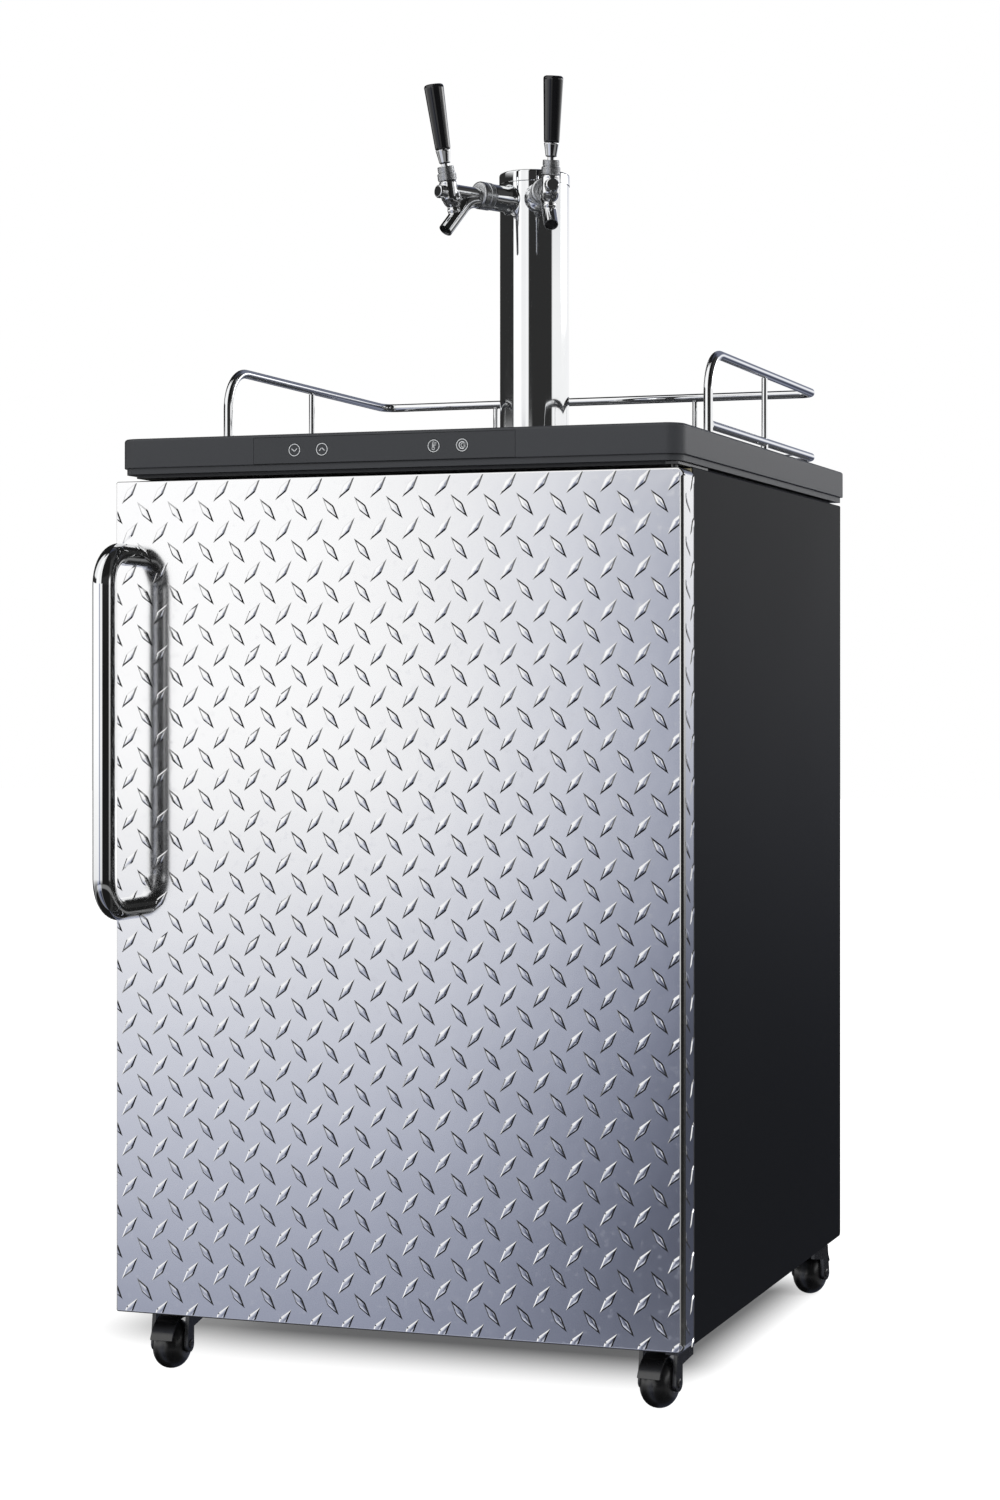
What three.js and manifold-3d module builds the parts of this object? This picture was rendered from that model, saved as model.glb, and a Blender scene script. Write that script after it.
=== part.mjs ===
import * as THREE from 'three';
import { mergeVertices } from 'three/addons/utils/BufferGeometryUtils.js';
import Module from 'manifold-3d';

const wasm = await Module();
wasm.setup();

// A free-standing beer dispenser: an insulated cabinet on casters, a door in tread plate,
// a worktop with a guard rail, and a chrome tower with two taps.
// All lengths are in millimetres, +Z is up and the floor is at zero.
// X runs from the handle side to the hinge side, and Y from the door's face to the back.

// Clearances
const seatGap = 0.3;
const runGap = 0.5;
const cutOverrun = 2;

// Casters
const wheelRadius = 25;
const wheelWidth = 32;
const wheelTreadWidth = 20;
const wheelSideRadius = 20;
const wheelHubRadius = 9;
const wheelHubInset = 3;
const wheelTopGap = 3;
const wheelSideGap = 1.2;
const casterTrail = 20;
const forkThickness = 2.5;
const forkCrownThickness = 3;
const forkCrownHalf = 12;
const forkEyeRadius = 8;
const raceRadius = 12.5;
const raceHeight = 7.2;
const stemRadius = 5;
const stemLength = 14;
const stemBossWall = 5;
const axleRadius = 3.5;
const rivetRadius = 5.5;
const rivetHeight = 2;
const casterInsetX = 33;
const frontCasterSetback = 28;
const rearCasterSetback = 42;
const casterHeadings = [3, -7, 176, 170];

// Cabinet
const cabinetWidth = 590;
const cabinetDepth = 558;
const cabinetHeight = 835;
const cabinetSetback = 40;
const shellWall = 1.2;
const foamWall = 38.3;
const rearFoamWall = 46;
const linerWall = 2;
const flangeThickness = 1.5;
const baseThickness = 2.5;
const floorFoam = 31.5;
const ceilingFoam = 38;
const humpDepth = 88;
const humpHeight = 200;
const humpFoam = 26;
const bayInset = 40;
const backThickness = 1.2;
const backJoint = 4;
const ventSlotWidth = 80;
const ventSlotHeight = 8;
const ventPitchX = 108;
const ventPitchZ = 20;
const ventColumns = 4;
const ventRows = 5;
const linePassageRadius = 28;

// Inside the cabinet
const floorPlateThickness = 3;
const floorPlateMargin = 8;
const evaporatorWidth = 360;
const evaporatorHeight = 330;
const evaporatorThickness = 12;
const evaporatorDrop = 60;
const evaporatorCorner = 18;
const fanSize = 130;
const fanThickness = 30;
const fanBore = 57;
const fanBladeReach = 53;
const fanHubRadius = 19;
const fanHubLength = 18;
const fanMotorRadius = 16;
const fanMotorLength = 8;
const fanSpokeWidth = 7;
const fanSpokeThickness = 3;
const fanPinRadius = 3;
const fanBladeCount = 5;
const fanBladeWidth = 24;
const fanBladeThickness = 2;
const fanBladePitch = 32;
const compressorHeight = 150;
const compressorShoulder = 26;
const compressorSide = -110;
const compressorPlateLength = 190;
const compressorPlateThickness = 4;
const compressorGap = 5;
const compressorFootRadius = 9;
const compressorFootHeight = 12;
const inletRadius = 11;
const inletReach = 5.5;
const inletCollar = 15;
const inletCollarThickness = 2;
const inletInset = 78.5;
const inletHeight = 34;

// Door
const doorOverhang = 5;
const doorTopGap = 3.5;
const doorBottomLift = 0.7;
const skinWall = 1;
const skinDepth = 29;
const skinLeftCorner = 2;
const skinHingeCorner = 8;
const doorCoreDepth = 34;
const gasketThickness = 5.4;
const gasketWidth = 14;
const gasketInset = 11;
const gasketHingeInset = 16;
const doorLinerMargin = 5;
const doorLinerReach = 12;
const doorLinerWall = 2.5;
const doorLinerBevel = 6;
const hingeInsetX = 16;
const hingeInsetY = 16;
const hingePinRadius = 3.5;
const hingePinLength = 12;
const hingePlateThickness = 2.7;
const hingePlateHalf = 6.5;
const topHingeReach = 62;
const bottomHingeReach = 34;

// Door handle
const handleTubeRadius = 11;
const handleReach = 54;
const handleInset = 19;
const handleTopDrop = 74;
const handleLength = 352;
const handleBend = 32;

// Worktop and its controls
const worktopOverhang = 1;
const worktopDepth = 605;
const worktopThickness = 35.5;
const worktopLift = 3.5;
const worktopCorner = 18;
const worktopEdge = 3;
const worktopLipHeight = 6;
const worktopLipInset = 2.5;
const worktopPadInset = 12;
const fasciaLeft = -146;
const fasciaRight = 129.5;
const fasciaHeight = 25.4;
const fasciaTopDrop = 3.4;
const fasciaThickness = 2.6;
const keyRadius = 6.6;
const keyLength = 5.4;
const keyTravel = 0.8;
const keyLeftInset = 44;
const keyRightInset = 54.5;
const keyPitch = 29.5;
const windowGap = 12;
const windowHeight = 15;
const boardThickness = 1.6;
const boardMargin = 9;
const boardHeight = 20;
const pocketDepth = 4;
const switchRadius = 3;
const switchHeight = 1.6;

// Guard rail
const railTubeRadius = 4.75;
const railPostRadius = 3.2;
const railFootRadius = 4;
const railInsetX = 29.5;
const railFrontSetback = 180;
const railRearInset = 18;
const railTopHeight = 89;
const railLowHeight = 15.5;
const railFrontBend = 42;
const railRearBend = 16;
const rearPostOffset = 124;

// Tower
const towerRadius = 38.1;
const towerWall = 1.6;
const towerFromRear = 214;
const towerHeight = 318.5;
const towerCapHeight = 12.5;
const towerCapProud = 0.8;
const towerCapEdge = 1.3;
const towerCapPlug = 8;
const towerFlangeRadius = 52;
const towerFlangeHeight = 4;
const tapAngle = 29;
const shankDrop = 32;

// Taps
const shankThreadRadius = 9;
const shankTail = 15;
const collarRadius = 14.2;
const collarLength = 26.2;
const shankNoseRadius = 12;
const shankNoseLength = 7.4;
const nutRadius = 15;
const nutLength = 16.4;
const nutGroove = 1.1;
const nutLip = 5.4;
const barrelRadius = 7.6;
const barrelFlangeRadius = 11.9;
const barrelFlangeLength = 2.6;
const leverReach = 81.9;
const leverLean = 10.8;
const headRadius = 9.3;
const headTop = 10;
const headFoot = 11;
const headFrontRadius = 7;
const headFrontReach = 15.5;
const headFrontDrop = 2.7;
const headCapRadius = 5.6;
const headCapLength = 1.4;
const chinRadius = 10;
const chinSetback = 4;
const chinDrop = 9;
const spoutRadius = 7.6;
const spoutBend = 24;
const spoutTurn = 26;
const spoutRootDrop = 7;
const spoutTipReach = 10;
const spoutTipDrop = 50;
const spoutCutDrop = 39.4;
const spoutCutTilt = 10;
const bonnetRadius = 10.1;
const bonnetTopRadius = 8.9;
const bonnetBase = 10.3;
const bonnetStep = 18.3;
const bonnetTop = 25.4;
const bonnetGroove = 0.8;
const bonnetMouth = 0.8;
const bonnetSkirtBore = 7.3;
const leverPivot = 19;
const leverBallRadius = 5;
const leverNeckRadius = 4.4;
const leverStubRadius = 2.8;
const leverStubLength = 6.5;
const ferruleBase = 29.2;
const ferruleBaseRadius = 6;
const ferruleLength = 13.8;
const ferruleTopRadius = 7.9;
const leverPegRadius = 4;
const leverPegLength = 24;
const tapHandleLength = 69.5;
const tapHandleBaseRadius = 8.1;
const tapHandleTopRadius = 10.6;
const tapHandleEdge = 1.6;

// Drip tray
const trayWidth = 262;
const trayDepth = 114;
const trayHeight = 18;
const trayWall = 1.5;
const trayCorner = 14;
const trayLedge = 3;
const trayTowerGap = 9;
const grilleThickness = 2.4;
const grilleSlotWidth = 7;
const grilleSlotLength = 88;
const grilleSlotPitch = 15.5;
const grilleSlotCount = 15;

// How finely round forms are cut
const roundSides = 20;
const towerSides = 32;
const tubeSides = 10;
const smallSides = 10;
const wheelSides = 20;
const ballRings = 4;
const cornerSteps = 3;
const bendSteps = 4;
const handleBendSteps = 6;
const handleSides = 12;

// Heights and places worked out from the sizes above
const cabinetBottom = 2 * wheelRadius + wheelTopGap + forkCrownThickness + raceHeight + seatGap;
const cabinetTop = cabinetBottom + cabinetHeight;
const cabinetFront = cabinetSetback;
const cabinetRear = cabinetFront + cabinetDepth;
const cabinetSide = cabinetWidth / 2;
const worktopBottom = cabinetTop + worktopLift;
const worktopTop = worktopBottom + worktopThickness;
const worktopSide = cabinetSide + worktopOverhang;
const doorSide = cabinetSide + doorOverhang;
const doorTop = cabinetTop - doorTopGap;
const doorBottom = cabinetBottom + doorBottomLift;
const foamBottom = cabinetBottom + baseThickness + seatGap;
const foamTop = cabinetTop - shellWall - seatGap;
const foamSide = cabinetSide - shellWall - seatGap;
const foamRear = cabinetRear - backThickness - seatGap;
const foamFront = cabinetFront + flangeThickness + seatGap;
const linerSide = foamSide - foamWall;
const roomSide = linerSide - seatGap - linerWall;
const roomFloor = foamBottom + floorFoam + seatGap + linerWall;
const roomCeiling = foamTop - ceilingFoam - seatGap - linerWall;
const roomRear = foamRear - rearFoamWall - seatGap - linerWall;
const humpFront = roomRear - humpDepth;
const humpTop = roomFloor + humpHeight;
const bayFront = humpFront + linerWall + seatGap + humpFoam;
const bayTop = humpTop - linerWall - seatGap - humpFoam;
const baySide = foamSide - bayInset;
const towerY = worktopDepth - towerFromRear;
const towerBottom = worktopTop + seatGap + towerFlangeHeight + seatGap;
const towerTop = worktopTop + towerHeight;
const shankZ = towerTop - shankDrop;
const hingeX = doorSide - hingeInsetX;
const hingeY = hingeInsetY;
const standY = -(worktopDepth - handleReach - handleTubeRadius) / 2;

// Finishes
const finishes = {
  satinBlack: { color: 0x1b1d1f, roughness: 0.55, metalness: 0.1 },
  texturedBlack: { color: 0x35393c, roughness: 0.7, metalness: 0 },
  glossBlack: { color: 0x0a0a0b, roughness: 0.15, metalness: 0 },
  treadPlate: { color: 0xc9cad8, roughness: 0.25, metalness: 1 },
  chrome: { color: 0xd8dadc, roughness: 0.06, metalness: 1 },
  knurledChrome: { color: 0xb4b7ba, roughness: 0.3, metalness: 1 },
  brushedSteel: { color: 0xa8abae, roughness: 0.35, metalness: 1 },
  galvanised: { color: 0x9a9ea2, roughness: 0.5, metalness: 0.9 },
  whiteLiner: { color: 0xe4e6e6, roughness: 0.4, metalness: 0 },
  insulation: { color: 0xd9c58a, roughness: 0.9, metalness: 0 },
  softGrey: { color: 0x6d6c66, roughness: 0.8, metalness: 0 },
  rubber: { color: 0x17181a, roughness: 0.6, metalness: 0 },
  darkGlass: { color: 0x121416, roughness: 0.1, metalness: 0 },
  board: { color: 0x1e5a34, roughness: 0.6, metalness: 0 },
};
const materials = Object.fromEntries(
  Object.entries(finishes).map(([name, finish]) => [name, new THREE.MeshStandardMaterial(finish)]),
);

// A closed solid from a geometry: vertices merged, empty triangles dropped, faces turned out.
function solidOf(geometry) {
  const bare = geometry.clone();
  bare.deleteAttribute('normal');
  bare.deleteAttribute('uv');
  const merged = mergeVertices(bare);
  const index = merged.index.array;
  const triangles = [];
  let volume = 0;
  const a = new THREE.Vector3();
  const b = new THREE.Vector3();
  const c = new THREE.Vector3();
  for (let i = 0; i < index.length; i += 3) {
    const [p, q, r] = [index[i], index[i + 1], index[i + 2]];
    if (p !== q && q !== r && r !== p) {
      triangles.push(p, q, r);
      a.fromBufferAttribute(merged.attributes.position, p);
      b.fromBufferAttribute(merged.attributes.position, q);
      c.fromBufferAttribute(merged.attributes.position, r);
      volume += a.dot(b.cross(c));
    }
  }
  if (volume < 0) {
    triangles.reverse();
  }
  const vertProperties = new Float32Array(merged.attributes.position.array);
  return new wasm.Manifold(new wasm.Mesh({ numProp: 3, vertProperties, triVerts: new Uint32Array(triangles) }));
}

function join(first, ...others) {
  return others.reduce((whole, other) => whole.add(other), first);
}

function cut(first, ...others) {
  return others.reduce((whole, other) => whole.subtract(other), first);
}

// A block between two limits along each axis.
function block([x0, x1], [y0, y1], [z0, z1]) {
  const box = new THREE.BoxGeometry(x1 - x0, y1 - y0, z1 - z0);
  return solidOf(box.translate((x0 + x1) / 2, (y0 + y1) / 2, (z0 + z1) / 2));
}

const standingUp = new THREE.Matrix4();
const alongX = new THREE.Matrix4().makeBasis(
  new THREE.Vector3(0, 1, 0),
  new THREE.Vector3(0, 0, 1),
  new THREE.Vector3(1, 0, 0),
);
const alongY = new THREE.Matrix4().makeBasis(
  new THREE.Vector3(1, 0, 0),
  new THREE.Vector3(0, 0, 1),
  new THREE.Vector3(0, 1, 0),
);

// An outline pushed from one limit to another: along Z, or along X or Y with a turned frame.
function pushed(outline, [from, to], frame = standingUp, bevel = 0) {
  const settings = { depth: to - from - 2 * bevel, bevelEnabled: bevel > 0, curveSegments: cornerSteps };
  if (bevel > 0) {
    Object.assign(settings, { bevelSize: bevel, bevelThickness: bevel, bevelOffset: -bevel, bevelSegments: 1 });
  }
  const geometry = new THREE.ExtrudeGeometry(outline, settings);
  return solidOf(geometry.translate(0, 0, from + bevel).applyMatrix4(frame));
}

function polygon(points) {
  return new THREE.Shape(points.map(([x, y]) => new THREE.Vector2(x, y)));
}

// A rectangle with its own radius at each corner, from the lower left one round to the upper left one.
function roundedRectangle([x0, x1], [y0, y1], radii) {
  const corners = [
    [x0, y0, Math.PI],
    [x1, y0, -Math.PI / 2],
    [x1, y1, 0],
    [x0, y1, Math.PI / 2],
  ];
  const outline = new THREE.Shape();
  corners.forEach(([x, y, start], i) => {
    const radius = radii[i];
    if (radius > 0) {
      const centreX = x + Math.sign(x0 + x1 - 2 * x) * radius;
      const centreY = y + Math.sign(y0 + y1 - 2 * y) * radius;
      outline.absarc(centreX, centreY, radius, start, start + Math.PI / 2, false);
    } else if (i === 0) {
      outline.moveTo(x, y);
    } else {
      outline.lineTo(x, y);
    }
  });
  outline.closePath();
  return outline;
}

// A form turned about Z from a profile of radius and height.
function turned(profile, sides = roundSides) {
  const points = profile.map(([radius, height]) => new THREE.Vector2(radius, height));
  return solidOf(new THREE.LatheGeometry(points, sides).rotateX(Math.PI / 2));
}

function cylinder(radius, [from, to], sides = roundSides) {
  return turned([[0, from], [radius, from], [radius, to], [0, to]], sides);
}

function ringProfile(inner, outer, [from, to]) {
  return [[inner, from], [outer, from], [outer, to], [inner, to], [inner, from]];
}

function moved(solid, x, y, z) {
  return solid.translate([x, y, z]);
}

function turnedToX(solid) {
  return solid.rotate([0, 90, 0]);
}

function turnedToY(solid) {
  return solid.rotate([-90, 0, 0]);
}

// A path of straight runs and round bends, met only at the stations where a section is needed.
class BentPath extends THREE.Curve {
  constructor(stations) {
    super();
    this.stations = stations;
  }

  station(share) {
    return this.stations[Math.round(share * (this.stations.length - 1))];
  }

  getPointAt(share, target = new THREE.Vector3()) {
    return target.copy(this.station(share).point);
  }

  getTangentAt(share, target = new THREE.Vector3()) {
    return target.copy(this.station(share).tangent);
  }
}

function bentPath(corners, bends, steps) {
  const points = corners.map(([x, y, z]) => new THREE.Vector3(x, y, z));
  const headings = points.slice(1).map((point, i) => point.clone().sub(points[i]).normalize());
  const stations = [{ point: points[0], tangent: headings[0] }];
  bends.forEach((bend, i) => {
    const into = headings[i];
    const angle = into.angleTo(headings[i + 1]);
    const inward = headings[i + 1].clone().addScaledVector(into, -Math.cos(angle)).normalize();
    const start = points[i + 1].clone().addScaledVector(into, -bend * Math.tan(angle / 2));
    for (let step = 0; step <= steps; step += 1) {
      const turn = (angle * step) / steps;
      const point = start.clone().addScaledVector(into, bend * Math.sin(turn));
      point.addScaledVector(inward, bend * (1 - Math.cos(turn)));
      const tangent = into.clone().multiplyScalar(Math.cos(turn)).addScaledVector(inward, Math.sin(turn));
      stations.push({ point, tangent });
    }
  });
  stations.push({ point: points.at(-1), tangent: headings.at(-1) });
  return new BentPath(stations);
}

function tube(corners, bends, radius, sides, steps = bendSteps) {
  const path = bentPath(corners, bends, steps);
  const section = new THREE.Shape();
  for (let i = 0; i < sides; i += 1) {
    const angle = (2 * Math.PI * i) / sides;
    const place = [radius * Math.cos(angle), radius * Math.sin(angle)];
    if (i === 0) {
      section.moveTo(...place);
    } else {
      section.lineTo(...place);
    }
  }
  const settings = { steps: path.stations.length - 1, extrudePath: path };
  return solidOf(new THREE.ExtrudeGeometry(section, settings));
}

const kegerator = new THREE.Group();
const stand = new THREE.Group();
stand.position.y = standY;
kegerator.add(stand);

// A named piece in its place in a group.
function piece(name, solid, finish, group = stand) {
  const { vertProperties, triVerts } = solid.getMesh();
  const geometry = new THREE.BufferGeometry();
  geometry.setAttribute('position', new THREE.BufferAttribute(new Float32Array(vertProperties), 3));
  geometry.setIndex(new THREE.BufferAttribute(new Uint32Array(triVerts), 1));
  geometry.computeVertexNormals();
  const mesh = new THREE.Mesh(geometry, materials[finish]);
  mesh.name = name;
  group.add(mesh);
  return mesh;
}

const casterPlaces = [
  ['front_left', -1, cabinetFront + frontCasterSetback],
  ['front_right', 1, cabinetFront + frontCasterSetback],
  ['rear_left', -1, cabinetRear - rearCasterSetback],
  ['rear_right', 1, cabinetRear - rearCasterSetback],
].map(([name, side, y], i) => ({
  name,
  x: side * (cabinetSide - casterInsetX),
  y,
  heading: THREE.MathUtils.degToRad(casterHeadings[i]),
}));

// Sheet metal wrap: two sides and the roof, with the hole that the beer lines pass.
function makeShell() {
  const sides = [-cabinetSide, cabinetSide];
  const inner = cabinetSide - shellWall;
  const outside = block(sides, [cabinetFront, cabinetRear], [cabinetBottom, cabinetTop]);
  const hollow = block(
    [-inner, inner],
    [cabinetFront - cutOverrun, cabinetRear + cutOverrun],
    [cabinetBottom - cutOverrun, cabinetTop - shellWall],
  );
  const passage = moved(cylinder(linePassageRadius, [roomCeiling, worktopTop]), 0, towerY, 0);
  piece('cabinet_shell', cut(outside, hollow, passage), 'satinBlack');
}

// The room for the keg, as an outline seen from the side, grown by a wall where one is asked for.
function roomOutline(front, wall) {
  return polygon([
    [front, roomFloor - wall],
    [humpFront + wall, roomFloor - wall],
    [humpFront + wall, humpTop - wall],
    [roomRear + wall, humpTop - wall],
    [roomRear + wall, roomCeiling + wall],
    [front, roomCeiling + wall],
  ]);
}

function makeInsulation() {
  const body = block([-foamSide, foamSide], [foamFront, foamRear], [foamBottom, foamTop]);
  const wall = linerWall + seatGap;
  const room = pushed(roomOutline(foamFront - cutOverrun, wall), [-roomSide - wall, roomSide + wall], alongX);
  const bay = block(
    [-baySide, baySide],
    [bayFront, foamRear + cutOverrun],
    [foamBottom - cutOverrun, bayTop],
  );
  const passage = moved(cylinder(linePassageRadius, [roomCeiling, worktopTop]), 0, towerY, 0);
  const bosses = casterPlaces.map(({ x, y }) => {
    const pocket = stemRadius + runGap + stemBossWall + seatGap;
    return moved(cylinder(pocket, [cabinetBottom, bossTop() + seatGap]), x, y, 0);
  });
  piece('foam_insulation', cut(body, room, bay, passage, ...bosses), 'insulation');
}

function makeLiner() {
  const rim = block(
    [-foamSide, foamSide],
    [cabinetFront, cabinetFront + flangeThickness],
    [foamBottom, foamTop],
  );
  const tub = pushed(
    roomOutline(cabinetFront, linerWall),
    [-roomSide - linerWall, roomSide + linerWall],
    alongX,
  );
  const room = pushed(roomOutline(cabinetFront - cutOverrun, 0), [-roomSide, roomSide], alongX);
  const passage = moved(cylinder(linePassageRadius, [humpTop, worktopTop]), 0, towerY, 0);
  piece('inner_liner', cut(join(rim, tub), room, passage), 'whiteLiner');
}

function makeBackPanels() {
  const split = bayTop + backJoint;
  const faces = [cabinetRear - backThickness, cabinetRear];
  const upper = block([-foamSide, foamSide], faces, [split + seatGap, foamTop]);
  piece('back_panel', upper, 'galvanised');
  let cover = block([-foamSide, foamSide], faces, [foamBottom, split]);
  const lowest = (foamBottom + bayTop) / 2 - ((ventRows - 1) * ventPitchZ) / 2;
  for (let row = 0; row < ventRows; row += 1) {
    for (let column = 0; column < ventColumns; column += 1) {
      const x = (column - (ventColumns - 1) / 2) * ventPitchX;
      const z = lowest + row * ventPitchZ;
      const slot = roundedRectangle(
        [x - ventSlotWidth / 2, x + ventSlotWidth / 2],
        [z - ventSlotHeight / 2, z + ventSlotHeight / 2],
        [0, 0, 0, 0],
      );
      cover = cover.subtract(pushed(slot, [cabinetRear - cutOverrun, cabinetRear + cutOverrun], alongY));
    }
  }
  piece('compressor_cover', cover, 'galvanised');
}

function bossTop() {
  return cabinetBottom + stemLength + runGap + baseThickness;
}

// Base plate with a bored boss over each caster.
function makeBase() {
  let base = block(
    [-foamSide, foamSide],
    [cabinetFront, foamRear],
    [cabinetBottom, cabinetBottom + baseThickness],
  );
  casterPlaces.forEach(({ x, y }) => {
    const bore = stemRadius + runGap;
    const boss = moved(cylinder(bore + stemBossWall, [cabinetBottom, bossTop()]), x, y, 0);
    const hole = cylinder(bore, [cabinetBottom - cutOverrun, bossTop() - baseThickness]);
    base = cut(base.add(boss), moved(hole, x, y, 0));
  });
  piece('base_plate', base, 'galvanised');
}

function makeInside() {
  const plateTop = roomFloor + seatGap + floorPlateThickness;
  const plateSide = roomSide - floorPlateMargin;
  const plate = block(
    [-plateSide, plateSide],
    [cabinetFront + doorLinerReach + floorPlateMargin, humpFront - floorPlateMargin],
    [roomFloor + seatGap, plateTop],
  );
  piece('keg_floor_plate', plate, 'galvanised');

  const panelTop = roomCeiling - evaporatorDrop;
  const panelSides = [-evaporatorWidth / 2, evaporatorWidth / 2];
  const panelRear = roomRear - seatGap;
  const panelFront = panelRear - evaporatorThickness;
  const corners = Array(4).fill(evaporatorCorner);
  const panelOutline = roundedRectangle(panelSides, [panelTop - evaporatorHeight, panelTop], corners);
  piece('evaporator_cover', pushed(panelOutline, [panelFront, panelRear], alongY, seatGap), 'whiteLiner');

  const fanZ = panelTop - evaporatorHeight / 2;
  const fanRear = panelFront - seatGap;
  const fanFront = fanRear - fanThickness;
  const frameSides = [-fanSize / 2, fanSize / 2];
  const frame = pushed(
    roundedRectangle(frameSides, [fanZ - fanSize / 2, fanZ + fanSize / 2], Array(4).fill(evaporatorCorner)),
    [fanFront, fanRear],
    alongY,
  );
  const bore = turnedToY(cylinder(fanBore, [fanFront - cutOverrun, fanRear + cutOverrun]));
  const spokes = [
    block([-fanBore - seatGap, fanBore + seatGap], [fanRear - fanSpokeThickness, fanRear],
      [fanZ - fanSpokeWidth / 2, fanZ + fanSpokeWidth / 2]),
    block([-fanSpokeWidth / 2, fanSpokeWidth / 2], [fanRear - fanSpokeThickness, fanRear],
      [fanZ - fanBore - seatGap, fanZ + fanBore + seatGap]),
  ];
  const motor = turnedToY(cylinder(fanMotorRadius, [fanRear - fanMotorLength, fanRear]));
  const hubRear = fanRear - fanMotorLength - runGap;
  const pin = turnedToY(cylinder(fanPinRadius, [hubRear - fanHubLength, fanRear], smallSides));
  const housing = join(cut(frame, moved(bore, 0, 0, fanZ)), ...spokes, moved(motor, 0, 0, fanZ), moved(pin, 0, 0, fanZ));
  piece('fan_housing', housing, 'texturedBlack');

  const hubRange = [-fanHubLength, 0];
  let rotor = turnedToY(turned([
    [fanPinRadius + runGap, hubRange[0] + fanBladeThickness],
    [fanPinRadius + runGap, hubRange[1]],
    [fanHubRadius, hubRange[1]],
    [fanHubRadius, hubRange[0]],
    [fanPinRadius + runGap, hubRange[0]],
    [fanPinRadius + runGap, hubRange[0] + fanBladeThickness],
  ], roundSides));
  for (let i = 0; i < fanBladeCount; i += 1) {
    const blade = block(
      [fanHubRadius - fanBladeThickness, fanBladeReach],
      [-fanBladeThickness / 2, fanBladeThickness / 2],
      [-fanBladeWidth / 2, fanBladeWidth / 2],
    ).rotate([fanBladePitch, 0, 0]);
    rotor = rotor.add(moved(blade, 0, -fanHubLength / 2, 0).rotate([0, (360 * i) / fanBladeCount, 0]));
  }
  const fan = piece('fan_rotor', rotor, 'softGrey');
  fan.position.set(0, hubRear, fanZ);

  const bayMiddle = (bayFront + foamRear) / 2;
  const canRadius = (foamRear - bayFront) / 2 - compressorGap;
  const plateBottom = cabinetBottom + baseThickness + seatGap + compressorFootHeight;
  const canTop = plateBottom + compressorHeight;
  const can = turned([
    [0, plateBottom],
    [canRadius - compressorShoulder / 2, plateBottom],
    [canRadius, plateBottom + compressorShoulder],
    [canRadius, canTop - compressorShoulder],
    [canRadius - compressorShoulder / 2, canTop - compressorShoulder / 4],
    [0, canTop],
  ]);
  const feetX = compressorPlateLength / 2 - compressorFootRadius;
  const feetY = canRadius - compressorFootRadius;
  const plateBars = block(
    [-compressorPlateLength / 2, compressorPlateLength / 2],
    [-canRadius, canRadius],
    [plateBottom, plateBottom + compressorPlateThickness],
  );
  const feet = [[-1, -1], [1, -1], [1, 1], [-1, 1]].map(([sx, sy]) => moved(
    cylinder(compressorFootRadius, [plateBottom - compressorFootHeight, plateBottom + compressorPlateThickness], smallSides),
    sx * feetX,
    sy * feetY,
    0,
  ));
  piece('compressor', moved(join(can, plateBars, ...feet), compressorSide, bayMiddle, 0), 'satinBlack');

  const inlet = turned([
    [0, seatGap],
    [inletCollar, seatGap],
    [inletCollar, seatGap + inletCollarThickness],
    [inletRadius, seatGap + inletCollarThickness],
    [inletRadius, inletReach],
    [inletRadius / 2, inletReach],
    [inletRadius / 2, inletCollarThickness],
    [0, inletCollarThickness],
  ], smallSides);
  const gland = piece('cord_inlet', turnedToY(inlet), 'rubber');
  gland.position.set(inletInset - foamSide, cabinetRear, cabinetBottom + inletHeight);
}

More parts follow.
